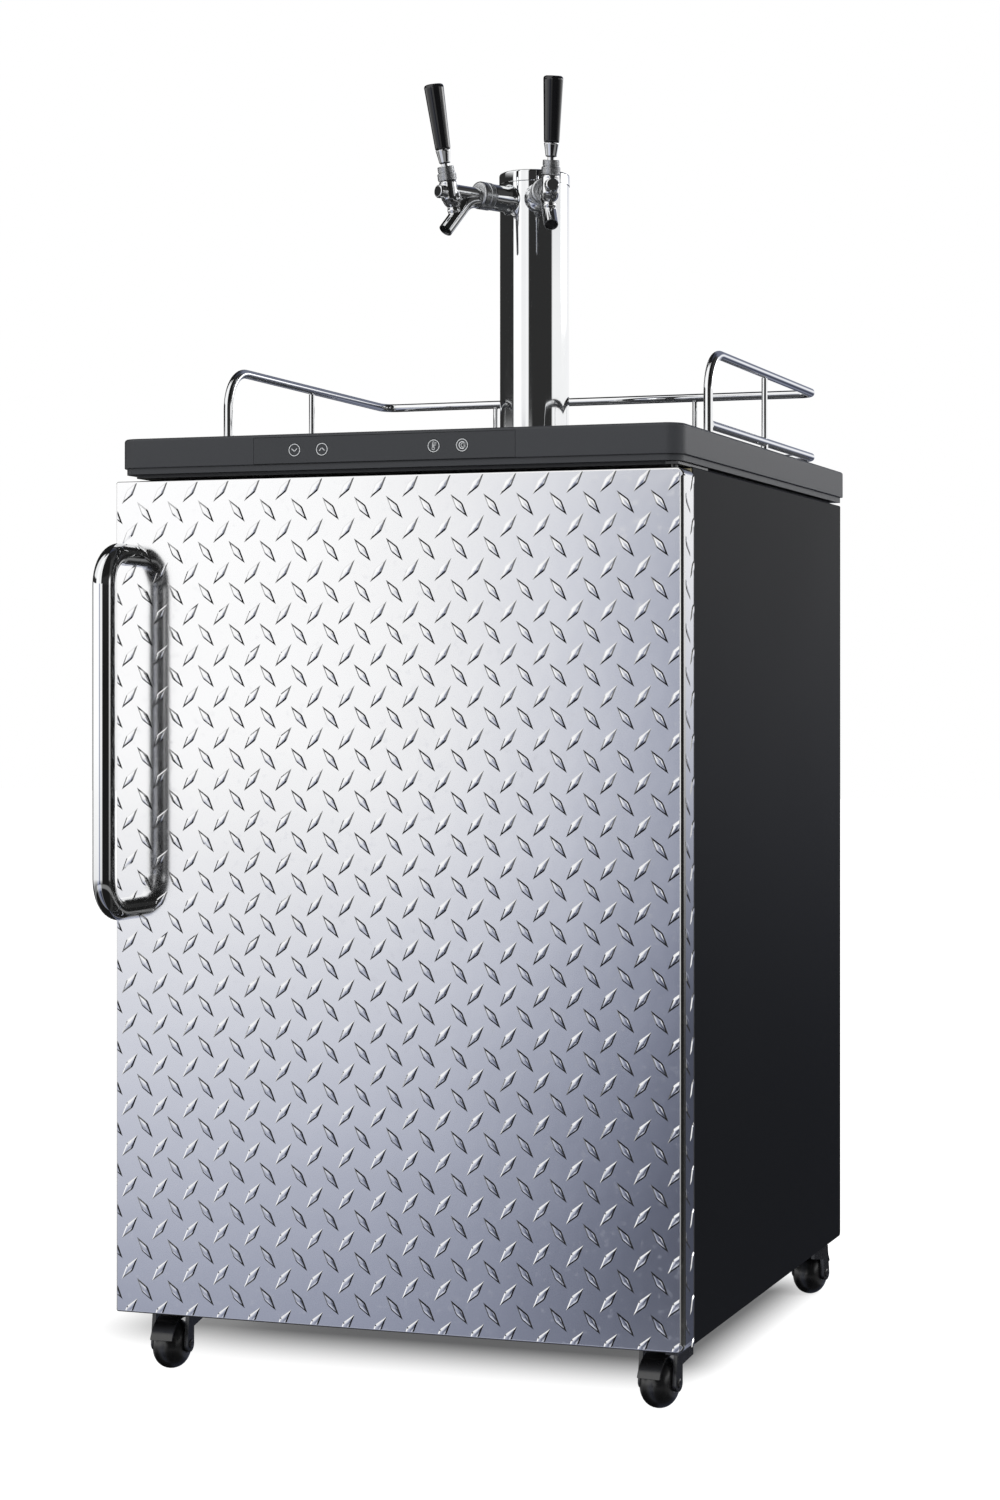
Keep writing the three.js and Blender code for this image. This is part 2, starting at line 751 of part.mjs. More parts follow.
function makeDoor() {
  const corners = [skinLeftCorner, skinHingeCorner, skinHingeCorner, skinLeftCorner];
  const heights = [doorBottom, doorTop];
  const innerSide = doorSide - skinWall;
  const innerHeights = [doorBottom + skinWall, doorTop - skinWall];
  const pinHole = (radius, range) => moved(cylinder(radius, range, smallSides), hingeX, hingeY, 0);
  const outer = pushed(roundedRectangle([-doorSide, doorSide], heights, corners), [0, skinDepth], alongY);
  const inner = pushed(
    roundedRectangle([-innerSide, innerSide], innerHeights, corners.map((radius) => radius - skinWall)),
    [skinWall, skinDepth + cutOverrun],
    alongY,
  );
  const through = pinHole(hingePinRadius + runGap, [doorBottom - cutOverrun, doorTop + cutOverrun]);
  piece('door_skin', cut(outer, inner, through), 'treadPlate');

  const coreSide = innerSide - seatGap;
  const coreHeights = [innerHeights[0] + seatGap, innerHeights[1] - seatGap];
  const core = pushed(
    roundedRectangle([-coreSide, coreSide], coreHeights, corners.map((radius) => radius - skinWall)),
    [skinWall + seatGap, doorCoreDepth],
    alongY,
  );
  const pinReach = hingePinLength + runGap;
  const topHole = pinHole(hingePinRadius + runGap, [doorTop - pinReach, doorTop + cutOverrun]);
  const bottomHole = pinHole(hingePinRadius + runGap, [doorBottom - cutOverrun, doorBottom + pinReach]);
  piece('door_core', cut(core, topHole, bottomHole), 'softGrey');

  const gasketRear = cabinetFront - seatGap;
  const gasketSides = [-doorSide + gasketInset, doorSide - gasketHingeInset];
  const gasketHeights = [doorBottom + gasketInset, doorTop - gasketInset];
  const gasketRange = [gasketRear - gasketThickness, gasketRear];
  const gasket = cut(
    block(gasketSides, gasketRange, gasketHeights),
    block(
      [gasketSides[0] + gasketWidth, gasketSides[1] - gasketWidth],
      [gasketRange[0] - cutOverrun, gasketRange[1] + cutOverrun],
      [gasketHeights[0] + gasketWidth, gasketHeights[1] - gasketWidth],
    ),
  );
  piece('door_gasket', gasket, 'softGrey');

  const panelSide = roomSide - doorLinerMargin;
  const panelHeights = [roomFloor + doorLinerMargin + floorPlateThickness, roomCeiling - doorLinerMargin];
  const panelRange = [doorCoreDepth + seatGap, cabinetFront + doorLinerReach];
  const panel = pushed(
    roundedRectangle([-panelSide, panelSide], panelHeights, Array(4).fill(doorLinerBevel)),
    panelRange,
    alongY,
    doorLinerWall,
  );
  const recess = block(
    [-panelSide + 2 * doorLinerWall, panelSide - 2 * doorLinerWall],
    [panelRange[0] - cutOverrun, panelRange[1] - doorLinerWall],
    [panelHeights[0] + 2 * doorLinerWall, panelHeights[1] - 2 * doorLinerWall],
  );
  piece('door_liner', cut(panel, recess), 'whiteLiner');

  const barX = -doorSide + handleInset;
  const barTop = doorTop - handleTopDrop;
  const bar = tube(
    [
      [barX, -seatGap, barTop],
      [barX, -handleReach, barTop],
      [barX, -handleReach, barTop - handleLength],
      [barX, -seatGap, barTop - handleLength],
    ],
    [handleBend, handleBend],
    handleTubeRadius,
    handleSides,
    handleBendSteps,
  );
  piece('door_handle', bar, 'chrome');
}

// Each hinge is a plate on the cabinet with a pin that the door turns on.
function makeHinges() {
  const sides = [hingeX - hingePlateHalf, hingeX + hingePlateHalf];
  const topPlate = [cabinetTop + seatGap, cabinetTop + seatGap + hingePlateThickness];
  const bottomPlate = [cabinetBottom - seatGap - hingePlateThickness, cabinetBottom - seatGap];
  const pin = (range) => moved(cylinder(hingePinRadius, range, smallSides), hingeX, hingeY, 0);
  const front = hingeY - hingePlateHalf;
  const top = join(
    block(sides, [front, cabinetFront + topHingeReach], topPlate),
    pin([doorTop - hingePinLength, topPlate[1]]),
  );
  const bottom = join(
    block(sides, [front, front + bottomHingeReach], bottomPlate),
    pin([bottomPlate[0], doorBottom + hingePinLength]),
  );
  piece('top_hinge', top, 'galvanised');
  piece('bottom_hinge', bottom, 'galvanised');
}

function keyPlaces() {
  return [
    ['key_colder', fasciaLeft + keyLeftInset],
    ['key_warmer', fasciaLeft + keyLeftInset + keyPitch],
    ['key_units', fasciaRight - keyRightInset - keyPitch],
    ['key_boost', fasciaRight - keyRightInset],
  ];
}

function makeWorktop() {
  const plan = (inset) => roundedRectangle(
    [-worktopSide + inset, worktopSide - inset],
    [inset, worktopDepth - inset],
    [worktopCorner - inset, worktopCorner - inset, 0, 0],
  );
  const lipTop = worktopBottom + worktopLipHeight;
  const middle = (lipTop + worktopTop) / 2;
  const slab = join(
    pushed(plan(worktopLipInset), [worktopBottom, middle]),
    pushed(plan(0), [lipTop, middle]),
    pushed(plan(0), [lipTop, worktopTop], standingUp, worktopEdge),
    block(
      [-worktopSide + worktopPadInset, worktopSide - worktopPadInset],
      [cabinetFront + worktopPadInset, cabinetRear - worktopPadInset],
      [cabinetTop + seatGap, middle],
    ),
  );
  const hingeRoom = block(
    [hingeX - hingePlateHalf - runGap, hingeX + hingePlateHalf + runGap],
    [0 - cutOverrun, cabinetFront + topHingeReach + runGap],
    [cabinetTop, cabinetTop + seatGap + hingePlateThickness + seatGap],
  );
  const passage = moved(cylinder(linePassageRadius, [cabinetTop - cutOverrun, worktopTop + cutOverrun]), 0, towerY, 0);
  const fasciaTop = worktopTop - fasciaTopDrop;
  const fasciaBottom = fasciaTop - fasciaHeight;
  const seat = block(
    [fasciaLeft - seatGap, fasciaRight + seatGap],
    [0 - cutOverrun, fasciaThickness + seatGap],
    [fasciaBottom - seatGap, fasciaTop + seatGap],
  );
  const middleZ = (fasciaTop + fasciaBottom) / 2;
  const boardFront = fasciaThickness + keyTravel + keyLength;
  const pocket = block(
    [fasciaLeft + boardMargin / 2, fasciaRight - boardMargin / 2],
    [0, boardFront + boardThickness + pocketDepth],
    [middleZ - boardHeight / 2 - seatGap, middleZ + boardHeight / 2 + seatGap],
  );
  piece('worktop', cut(slab, hingeRoom, passage, seat, pocket), 'texturedBlack');

  const places = keyPlaces();
  const windowSides = [places[1][1] + keyRadius + windowGap, places[2][1] - keyRadius - windowGap];
  const windowHeights = [middleZ - windowHeight / 2, middleZ + windowHeight / 2];
  const keyHoles = places.map(([, x]) => moved(
    turnedToY(cylinder(keyRadius + seatGap, [-cutOverrun, fasciaThickness + cutOverrun])),
    x,
    0,
    middleZ,
  ));
  const windowHole = block(
    [windowSides[0] - seatGap, windowSides[1] + seatGap],
    [0 - cutOverrun, fasciaThickness + cutOverrun],
    [windowHeights[0] - seatGap, windowHeights[1] + seatGap],
  );
  const fascia = block([fasciaLeft, fasciaRight], [0, fasciaThickness], [fasciaBottom, fasciaTop]);
  piece('control_fascia', cut(fascia, ...keyHoles, windowHole), 'texturedBlack');
  piece('display_window', block(windowSides, [0, boardFront - seatGap], windowHeights), 'darkGlass');

  places.forEach(([name, x]) => {
    const key = piece(name, turnedToY(cylinder(keyRadius, [0, keyLength])), 'texturedBlack');
    key.position.set(x, 0, middleZ);
  });

  const domes = places.map(([, x]) => moved(
    turnedToY(cylinder(switchRadius, [keyLength + keyTravel + seatGap, boardFront + boardThickness], smallSides)),
    x,
    0,
    middleZ,
  ));
  const board = block(
    [fasciaLeft + boardMargin, fasciaRight - boardMargin],
    [boardFront, boardFront + boardThickness],
    [middleZ - boardHeight / 2, middleZ + boardHeight / 2],
  );
  const posts = [fasciaLeft + boardMargin + switchRadius, fasciaRight - boardMargin - switchRadius].map((x) => moved(
    turnedToY(cylinder(switchRadius, [boardFront, boardFront + boardThickness + pocketDepth - seatGap], smallSides)),
    x,
    0,
    middleZ,
  ));
  piece('control_board', join(board, ...domes, ...posts), 'board');
}

function makeRail() {
  const x = worktopSide - railInsetX;
  const front = railFrontSetback;
  const rear = worktopDepth - railRearInset;
  const top = worktopTop + railTopHeight;
  const low = worktopTop + railLowHeight;
  const foot = worktopTop + seatGap;
  const upper = tube(
    [[-x, front, foot], [-x, front, top], [-x, rear, top], [x, rear, top], [x, front, top], [x, front, foot]],
    [railFrontBend, railRearBend, railRearBend, railFrontBend],
    railTubeRadius,
    tubeSides,
  );
  piece('guard_rail_top', upper, 'chrome');

  const start = front + railTubeRadius + seatGap;
  const lower = tube(
    [[-x, start, low], [-x, rear, low], [x, rear, low], [x, start, low]],
    [railRearBend, railRearBend],
    railTubeRadius,
    tubeSides,
  );
  const middle = (front + rear) / 2;
  const postPlaces = [[-x, middle], [-rearPostOffset, rear], [rearPostOffset, rear], [x, middle]];
  const posts = postPlaces.map(([px, py]) => moved(
    cylinder(railPostRadius, [low, top - railTubeRadius - seatGap], tubeSides),
    px,
    py,
    0,
  ));
  const feet = postPlaces.map(([px, py]) => moved(cylinder(railFootRadius, [foot, low], tubeSides), px, py, 0));
  piece('guard_rail_low', join(lower, ...posts, ...feet), 'chrome');
}

function makeTower() {
  const flange = turned(ringProfile(
    linePassageRadius,
    towerFlangeRadius,
    [worktopTop + seatGap, worktopTop + seatGap + towerFlangeHeight],
  ), towerSides);
  piece('tower_flange', moved(flange, 0, towerY, 0), 'chrome');

  const capBottom = towerTop - towerCapHeight;
  const bore = towerRadius - towerWall;
  let column = turned(ringProfile(bore, towerRadius, [towerBottom, capBottom - seatGap]), towerSides);
  [-1, 1].forEach((side) => {
    const hole = moved(turnedToX(cylinder(shankThreadRadius + seatGap, [0, towerRadius + cutOverrun])), 0, 0, shankZ);
    column = column.subtract(hole.rotate([0, 0, tapHeading(side)]));
  });
  piece('tower_column', moved(column, 0, towerY, 0), 'chrome');

  const capRadius = towerRadius + towerCapProud;
  const cap = turned([
    [0, capBottom - towerCapPlug],
    [bore - seatGap, capBottom - towerCapPlug],
    [bore - seatGap, capBottom],
    [capRadius, capBottom],
    [capRadius, towerTop - towerCapEdge],
    [capRadius - towerCapEdge, towerTop],
    [0, towerTop],
  ], towerSides);
  piece('tower_cap', moved(cap, 0, towerY, 0), 'chrome');
}

function tapHeading(side) {
  return -90 + side * tapAngle;
}

// One tap, built along the group's X axis, which points away from the tower.
function makeTap(name, side) {
  const tap = new THREE.Group();
  tap.position.set(0, towerY, shankZ);
  tap.rotation.z = THREE.MathUtils.degToRad(tapHeading(side));
  stand.add(tap);

  const nutStart = towerRadius + collarLength;
  const nutEnd = nutStart + nutLength;
  const shankBody = turnedToX(turned([
    [0, towerRadius - shankTail],
    [shankThreadRadius, towerRadius - shankTail],
    [shankThreadRadius, towerRadius - towerWall],
    [shankThreadRadius, towerRadius],
    [0, towerRadius],
  ]));
  const collar = turnedToX(cylinder(collarRadius, [towerRadius / 2, nutStart - seatGap]));
  const saddle = cylinder(towerRadius + seatGap, [-2 * collarRadius, 2 * collarRadius], towerSides);
  const nose = turnedToX(cylinder(shankNoseRadius, [nutStart - seatGap, nutStart + shankNoseLength]));
  const throat = turnedToX(cylinder(shankThreadRadius, [towerRadius - towerWall, nutStart]));
  piece(`${name}_shank`, join(collar.subtract(saddle), nose, throat, shankBody), 'chrome', tap);

  const nutWaist = (nutStart + nutEnd) / 2;
  const nutBore = shankNoseRadius + seatGap;
  const lipStart = nutEnd - nutLip;
  const lipBore = barrelRadius + seatGap;
  const nut = turnedToX(turned([
    [nutBore, nutStart],
    [nutRadius - nutGroove, nutStart],
    [nutRadius, nutStart + nutGroove],
    [nutRadius, nutWaist - nutGroove],
    [nutRadius - nutGroove, nutWaist],
    [nutRadius, nutWaist + nutGroove],
    [nutRadius, nutEnd - nutGroove],
    [nutRadius - nutGroove, nutEnd],
    [lipBore, nutEnd],
    [lipBore, lipStart],
    [nutBore, lipStart],
    [nutBore, nutStart],
  ]));
  piece(`${name}_coupling_nut`, nut, 'chrome', tap);

  const leverX = towerRadius + leverReach;
  const flangeEnd = lipStart - seatGap;
  const barrel = turnedToX(turned([
    [0, flangeEnd - barrelFlangeLength],
    [barrelFlangeRadius, flangeEnd - barrelFlangeLength],
    [barrelFlangeRadius, flangeEnd],
    [barrelRadius, flangeEnd],
    [barrelRadius, leverX],
    [0, leverX],
  ]));
  const lean = [0, leverLean, 0];
  const head = moved(cylinder(headRadius, [-headFoot, headTop]).rotate(lean), leverX, 0, 0);
  const front = moved(turnedToX(turned([
    [0, 0],
    [headFrontRadius, 0],
    [headFrontRadius, headFrontReach - headCapLength],
    [headCapRadius, headFrontReach - headCapLength],
    [headCapRadius, headFrontReach],
    [0, headFrontReach],
  ])), leverX, 0, -headFrontDrop);
  const chinProfile = Array.from({ length: 2 * ballRings + 1 }, (_, i) => {
    const angle = (Math.PI * i) / (2 * ballRings) - Math.PI / 2;
    return [i % (2 * ballRings) === 0 ? 0 : chinRadius * Math.cos(angle), chinRadius * Math.sin(angle)];
  });
  const chin = moved(turned(chinProfile), leverX - chinSetback, 0, -chinDrop);
  const spout = tube(
    [
      [nutEnd + seatGap, 0, -spoutRootDrop],
      [leverX - spoutTurn, 0, -spoutRootDrop],
      [leverX + spoutTipReach, 0, -spoutTipDrop],
    ],
    [spoutBend],
    spoutRadius,
    handleSides,
  );
  const below = spoutTipDrop + 2 * spoutRadius;
  const trim = block([-below, below], [-below, below], [-below, 0]).rotate([0, -spoutCutTilt, 0]);
  const spoutCut = spout.subtract(moved(trim, leverX, 0, -spoutCutDrop));
  piece(`${name}_faucet_body`, join(barrel, head, front, chin, spoutCut), 'chrome', tap);

  const upright = new THREE.Group();
  upright.position.x = leverX;
  upright.rotation.y = THREE.MathUtils.degToRad(leverLean);
  tap.add(upright);
  const ballBore = leverBallRadius + runGap;
  const bonnet = turned([
    [bonnetSkirtBore, bonnetBase],
    [bonnetRadius - bonnetGroove, bonnetBase],
    [bonnetRadius, bonnetBase + bonnetGroove],
    [bonnetRadius, bonnetStep - bonnetGroove],
    [bonnetTopRadius - bonnetGroove, bonnetStep],
    [bonnetTopRadius, bonnetStep + bonnetGroove],
    [bonnetTopRadius, bonnetTop],
    [bonnetTopRadius - bonnetMouth, bonnetTop],
    [ballBore, leverPivot],
    [bonnetSkirtBore, leverPivot - leverStubLength],
    [bonnetSkirtBore, bonnetBase],
  ]);
  piece(`${name}_bonnet`, bonnet, 'knurledChrome', upright);

  const ferruleTop = ferruleBase + ferruleLength;
  const ball = Array.from({ length: ballRings + 1 }, (_, i) => {
    const low = Math.asin(leverStubRadius / leverBallRadius);
    const high = Math.PI - Math.asin(leverNeckRadius / leverBallRadius);
    const angle = low + ((high - low) * i) / ballRings;
    return [leverBallRadius * Math.sin(angle), leverPivot - leverBallRadius * Math.cos(angle)];
  });
  const lever = turned([
    [0, leverPivot - leverStubLength],
    [leverStubRadius, leverPivot - leverStubLength],
    ...ball,
    [leverNeckRadius, ferruleBase],
    [ferruleBaseRadius, ferruleBase],
    [ferruleTopRadius, ferruleTop],
    [leverPegRadius, ferruleTop],
    [leverPegRadius, ferruleTop + leverPegLength],
    [0, ferruleTop + leverPegLength],
  ]);
  piece(`${name}_lever`, lever, 'chrome', upright);

  const handleBase = ferruleTop + seatGap;
  const handleTop = handleBase + tapHandleLength;
  const pegBore = leverPegRadius + seatGap;
  const pegRoom = ferruleTop + leverPegLength + seatGap;
  const handle = turned([
    [pegBore, handleBase],
    [tapHandleBaseRadius, handleBase],
    [tapHandleTopRadius, handleTop - 2 * tapHandleEdge],
    [tapHandleTopRadius - tapHandleEdge / 2, handleTop - tapHandleEdge / 2],
    [tapHandleTopRadius - 2 * tapHandleEdge, handleTop],
    [0, handleTop],
    [0, pegRoom],
    [pegBore, pegRoom],
    [pegBore, handleBase],
  ]);
  piece(`${name}_tap_handle`, handle, 'glossBlack', upright);
}

function makeDripTray() {
  const rear = towerY - towerFlangeRadius - trayTowerGap;
  const sides = [-trayWidth / 2, trayWidth / 2];
  const depths = [rear - trayDepth, rear];
  const base = worktopTop + seatGap;
  const plan = (inset) => roundedRectangle(
    [sides[0] + inset, sides[1] - inset],
    [depths[0] + inset, depths[1] - inset],
    Array(4).fill(trayCorner - inset),
  );
  const ledge = base + trayHeight - grilleThickness - seatGap;
  const tray = cut(
    pushed(plan(0), [base, base + trayHeight]),
    pushed(plan(trayWall + trayLedge), [base + trayWall, ledge + cutOverrun]),
    pushed(plan(trayWall), [ledge, base + trayHeight + cutOverrun]),
  );
  piece('drip_tray', tray, 'brushedSteel');

  let grille = pushed(plan(trayWall + seatGap), [ledge + seatGap, ledge + seatGap + grilleThickness]);
  const middle = (depths[0] + depths[1]) / 2;
  for (let i = 0; i < grilleSlotCount; i += 1) {
    const x = (i - (grilleSlotCount - 1) / 2) * grilleSlotPitch;
    grille = grille.subtract(block(
      [x - grilleSlotWidth / 2, x + grilleSlotWidth / 2],
      [middle - grilleSlotLength / 2, middle + grilleSlotLength / 2],
      [base, base + trayHeight + cutOverrun],
    ));
  }
  piece('drip_grille', grille, 'brushedSteel');
}

// One caster, with its swivel on the group's Z axis and its wheel trailing along -Y.
function makeCaster({ name, x, y, heading }) {
  const caster = new THREE.Group();
  caster.position.set(x, y, 0);
  caster.rotation.z = heading;
  stand.add(caster);

  const crownTop = 2 * wheelRadius + wheelTopGap + forkCrownThickness;
  const legInner = wheelWidth / 2 + wheelSideGap;
  const legOuter = legInner + forkThickness;
  const side = new THREE.Shape();
  side.moveTo(forkCrownHalf, crownTop);
  side.lineTo(-forkCrownHalf, crownTop);
  side.lineTo(-casterTrail - forkEyeRadius, wheelRadius);
  side.absarc(-casterTrail, wheelRadius, forkEyeRadius, Math.PI, 2 * Math.PI, false);
  side.lineTo(forkCrownHalf, crownTop - 2 * forkCrownThickness);
  side.closePath();
  const axleHole = moved(turnedToX(cylinder(axleRadius + seatGap, [-2 * legOuter, 2 * legOuter], smallSides)),
    0, -casterTrail, wheelRadius);
  const fork = join(
    pushed(side, [legInner, legOuter], alongX),
    pushed(side, [-legOuter, -legInner], alongX),
    block([-legOuter, legOuter], [-forkCrownHalf, forkCrownHalf], [crownTop - forkCrownThickness, crownTop]),
    cylinder(raceRadius, [crownTop - forkCrownThickness, cabinetBottom - seatGap]),
    cylinder(stemRadius, [crownTop, cabinetBottom + stemLength], smallSides),
  ).subtract(axleHole);
  piece(`${name}_caster_fork`, fork, 'satinBlack', caster);

  const shaftEnd = legOuter + seatGap;
  const axle = turnedToX(turned([
    [0, -shaftEnd - rivetHeight],
    [rivetRadius, -shaftEnd - rivetHeight / 2],
    [rivetRadius, -shaftEnd],
    [axleRadius, -shaftEnd],
    [axleRadius, shaftEnd],
    [rivetRadius, shaftEnd],
    [rivetRadius, shaftEnd + rivetHeight / 2],
    [0, shaftEnd + rivetHeight],
  ], smallSides));
  piece(`${name}_caster_axle`, moved(axle, 0, -casterTrail, wheelRadius), 'brushedSteel', caster);

  // The wheel's flats are at its stated radius, so that it stands on one of them.
  const flatShare = 1 / Math.cos(Math.PI / wheelSides);
  const treadRadius = wheelRadius * flatShare;
  const half = wheelWidth / 2;
  const bore = axleRadius + runGap;
  const wheel = turned([
    [bore, -half + wheelHubInset],
    [wheelHubRadius, -half + wheelHubInset],
    [wheelSideRadius, -half],
    [treadRadius, -wheelTreadWidth / 2],
    [treadRadius, wheelTreadWidth / 2],
    [wheelSideRadius, half],
    [wheelHubRadius, half - wheelHubInset],
    [bore, half - wheelHubInset],
    [bore, -half + wheelHubInset],
  ], wheelSides).rotate([0, 0, 180 / wheelSides]);
  piece(`${name}_caster_wheel`, moved(turnedToX(wheel), 0, -casterTrail, wheelRadius), 'rubber', caster);
}

makeShell();
makeInsulation();
makeLiner();
makeBackPanels();
makeBase();
makeInside();
makeDoor();
makeHinges();
makeWorktop();
makeRail();
makeTower();
makeTap('left', -1);
makeTap('right', 1);
makeDripTray();
casterPlaces.forEach(makeCaster);

export default kegerator;
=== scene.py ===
"""The looks of a kegerator: a beer cabinet on casters with a tread plate door and a two-tap tower."""

import math

import bmesh
import bpy
from mathutils import Matrix, Vector


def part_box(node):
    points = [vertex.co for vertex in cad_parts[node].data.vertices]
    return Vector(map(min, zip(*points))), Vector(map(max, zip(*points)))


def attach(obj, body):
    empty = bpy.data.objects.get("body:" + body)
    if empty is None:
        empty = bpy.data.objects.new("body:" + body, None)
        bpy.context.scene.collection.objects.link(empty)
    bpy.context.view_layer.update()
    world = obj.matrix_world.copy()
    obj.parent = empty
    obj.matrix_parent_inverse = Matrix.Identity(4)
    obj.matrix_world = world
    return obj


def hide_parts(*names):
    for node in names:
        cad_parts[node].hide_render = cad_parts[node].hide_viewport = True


bl_info = {
    "name": "Kegerator",
    "version": (1, 0, 0),
    "blender": (4, 5, 0),
    "location": "View3D > Sidebar > Kegerator",
    "description": "Models a two-tap kegerator around its packed frame",
    "category": "Add Mesh",
}

MM = 0.001
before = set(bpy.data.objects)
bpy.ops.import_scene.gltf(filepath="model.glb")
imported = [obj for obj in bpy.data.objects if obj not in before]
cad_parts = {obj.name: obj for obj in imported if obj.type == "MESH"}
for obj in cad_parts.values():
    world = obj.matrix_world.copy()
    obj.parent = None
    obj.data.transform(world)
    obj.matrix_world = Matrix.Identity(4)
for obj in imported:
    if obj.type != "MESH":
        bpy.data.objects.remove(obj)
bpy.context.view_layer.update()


def span(node):
    """A frame node's lowest and highest corner, in millimetres."""
    low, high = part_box(node)
    return low / MM, high / MM


# Sizes in millimetres, in the frame's own directions: X to the right, Y to the rear, Z up.
SHELL_LOW, SHELL_HIGH = span("cabinet_shell")
LINER_LOW, LINER_HIGH = span("inner_liner")
SKIN_LOW, SKIN_HIGH = span("door_skin")
TOP_LOW, TOP_HIGH = span("worktop")
STRIP_LOW, STRIP_HIGH = span("control_fascia")
PLATE_FRONT = SKIN_LOW.y + 0.95
PLATE_SIDE = SKIN_HIGH.x - 1.0
PLATE_BOTTOM = SKIN_LOW.z
PLATE_TOP = SKIN_HIGH.z
PLATE_REAR = SKIN_HIGH.y
ROOM_SIDE = 252.9
ROOM_FLOOR = 100.1
ROOM_CEILING = 856.7
ROOM_REAR = 278.2
STEP_FRONT = 190.2
STEP_TOP = 300.1
TOWER_Y = 121.0
SHANK_Z = 1224.0
WORKTOP = TOP_HIGH.z
LEVER_X = 120.0
LEVER_LEAN = 10.8
LEVER_PIVOT = 19.0
NUT_START = 64.3
NUT_END = 80.7
TAP_ANGLE = 29.0
TAPS = {"left": -1, "right": 1}
CASTERS = {
    "front_left": (-262.0, -202.0, 3.0),
    "front_right": (262.0, -202.0, -7.0),
    "rear_left": (-262.0, 286.0, 176.0),
    "rear_right": (262.0, 286.0, 170.0),
}
WHEEL_RADIUS = 25.0
TRAIL = 20.0
KEYS = {"colder": -102.0, "warmer": -72.5, "units": 45.5, "boost": 75.0}
LUG_COLUMN = 21

# The camera, in metres and degrees; its lens is in millimetres.
CAMERA_PLACE = (1.078, -2.699, 0.679)
CAMERA_TURN = 17.45
CAMERA_LENS = 65.45
CAMERA_SHIFT = (-0.1333, -0.035)


# Modelling helpers. Their sizes are in millimetres.


def deselect():
    bpy.ops.object.select_all(action="DESELECT")


def hold(piece, *others):
    """Selects a piece alone, or with others, and makes it the active one."""
    deselect()
    for one in (piece, *others):
        one.select_set(True)
    bpy.context.view_layer.objects.active = piece
    return piece


def settle(piece):
    """Puts a piece's place into its mesh."""
    hold(piece)
    bpy.ops.object.transform_apply(location=True, rotation=True, scale=True)
    return piece


def named(name):
    piece = bpy.context.object
    piece.name = name
    piece.data.name = name
    return piece


class Editing:
    """Edit mode on one piece, for as long as the with block lasts."""

    def __init__(self, piece):
        self.piece = piece

    def __enter__(self):
        hold(self.piece)
        bpy.ops.object.mode_set(mode="EDIT")
        return self

    def __exit__(self, *_):
        bpy.ops.object.mode_set(mode="OBJECT")

    def pick(self, kind, test=lambda middle, way: True, sharp=0):
        """Selects the corners, edges or faces whose middle and direction pass the test, and where
        sharp is given only the edges whose faces meet at more than that many degrees."""
        bpy.ops.mesh.select_mode(type={"verts": "VERT", "edges": "EDGE", "faces": "FACE"}[kind])
        bpy.ops.mesh.select_all(action="DESELECT")
        mesh = bmesh.from_edit_mesh(self.piece.data)
        for one in getattr(mesh, kind):
            if kind == "verts":
                middle, way = one.co, one.normal
            elif kind == "edges":
                ends = one.verts[0].co, one.verts[1].co
                middle, way = (ends[0] + ends[1]) / 2, (ends[1] - ends[0]).normalized()
            else:
                middle, way = one.calc_center_median(), one.normal
            if sharp and one.calc_face_angle(0) < math.radians(sharp):
                continue
            if test(middle / MM, way):
                one.select_set(True)
        bmesh.update_edit_mesh(self.piece.data)
        return self

    def extrude(self, x=0.0, y=0.0, z=0.0):
        bpy.ops.mesh.extrude_region_move(TRANSFORM_OT_translate={"value": (x * MM, y * MM, z * MM)})
        return self

    def shift(self, x=0.0, y=0.0, z=0.0):
        bpy.ops.transform.translate(value=(x * MM, y * MM, z * MM))
        return self

    def resize(self, x, y, z, centre):
        bpy.ops.transform.resize(value=(x, y, z), center_override=tuple(c * MM for c in centre))
        return self

    def bevel(self, width, steps):
        bpy.ops.mesh.bevel(offset=width * MM, segments=steps, affect="EDGES", clamp_overlap=True)
        return self

    def inset(self, width, depth=0.0):
        bpy.ops.mesh.inset(thickness=width * MM, depth=depth * MM)
        return self

    def tidy(self, inside=False):
        bpy.ops.mesh.select_mode(type="VERT")
        bpy.ops.mesh.select_all(action="SELECT")
        bpy.ops.mesh.remove_doubles(threshold=0.002 * MM)
        bpy.ops.mesh.normals_make_consistent(inside=inside)
        return self

    def cap(self):
        """Closes the open ends."""
        bpy.ops.mesh.select_all(action="SELECT")
        bpy.ops.mesh.fill_holes(sides=0)
        return self

    def delete_faces(self):
        bpy.ops.mesh.delete(type="FACE")
        return self

    def keep_side(self, point, way):
        """Cuts everything away on the side that the arrow points to, and closes the cut."""
        bpy.ops.mesh.select_mode(type="VERT")
        bpy.ops.mesh.select_all(action="SELECT")
        bpy.ops.mesh.bisect(
            plane_co=tuple(c * MM for c in point), plane_no=way, use_fill=True, clear_outer=True
        )
        return self


def near(a, b, slack=0.06):
    return abs(a - b) < slack


def block(name, low, high):
    """A block between two corners."""
    deselect()
    middle = [(a + b) / 2 * MM for a, b in zip(low, high)]
    size = [(b - a) * MM for a, b in zip(low, high)]
    bpy.ops.mesh.primitive_cube_add(size=1, location=middle, scale=size)
    return settle(named(name))


def ring_up(edit, profile):
    """Draws the selected ring along a profile of (radius, height), by extruding and resizing."""
    for (near_radius, near_height), (far_radius, far_height) in zip(profile, profile[1:]):
        edit.extrude(z=far_height - near_height)
        if far_radius != near_radius:
            ratio = far_radius / near_radius
            edit.resize(ratio, ratio, 1, (0, 0, far_height))


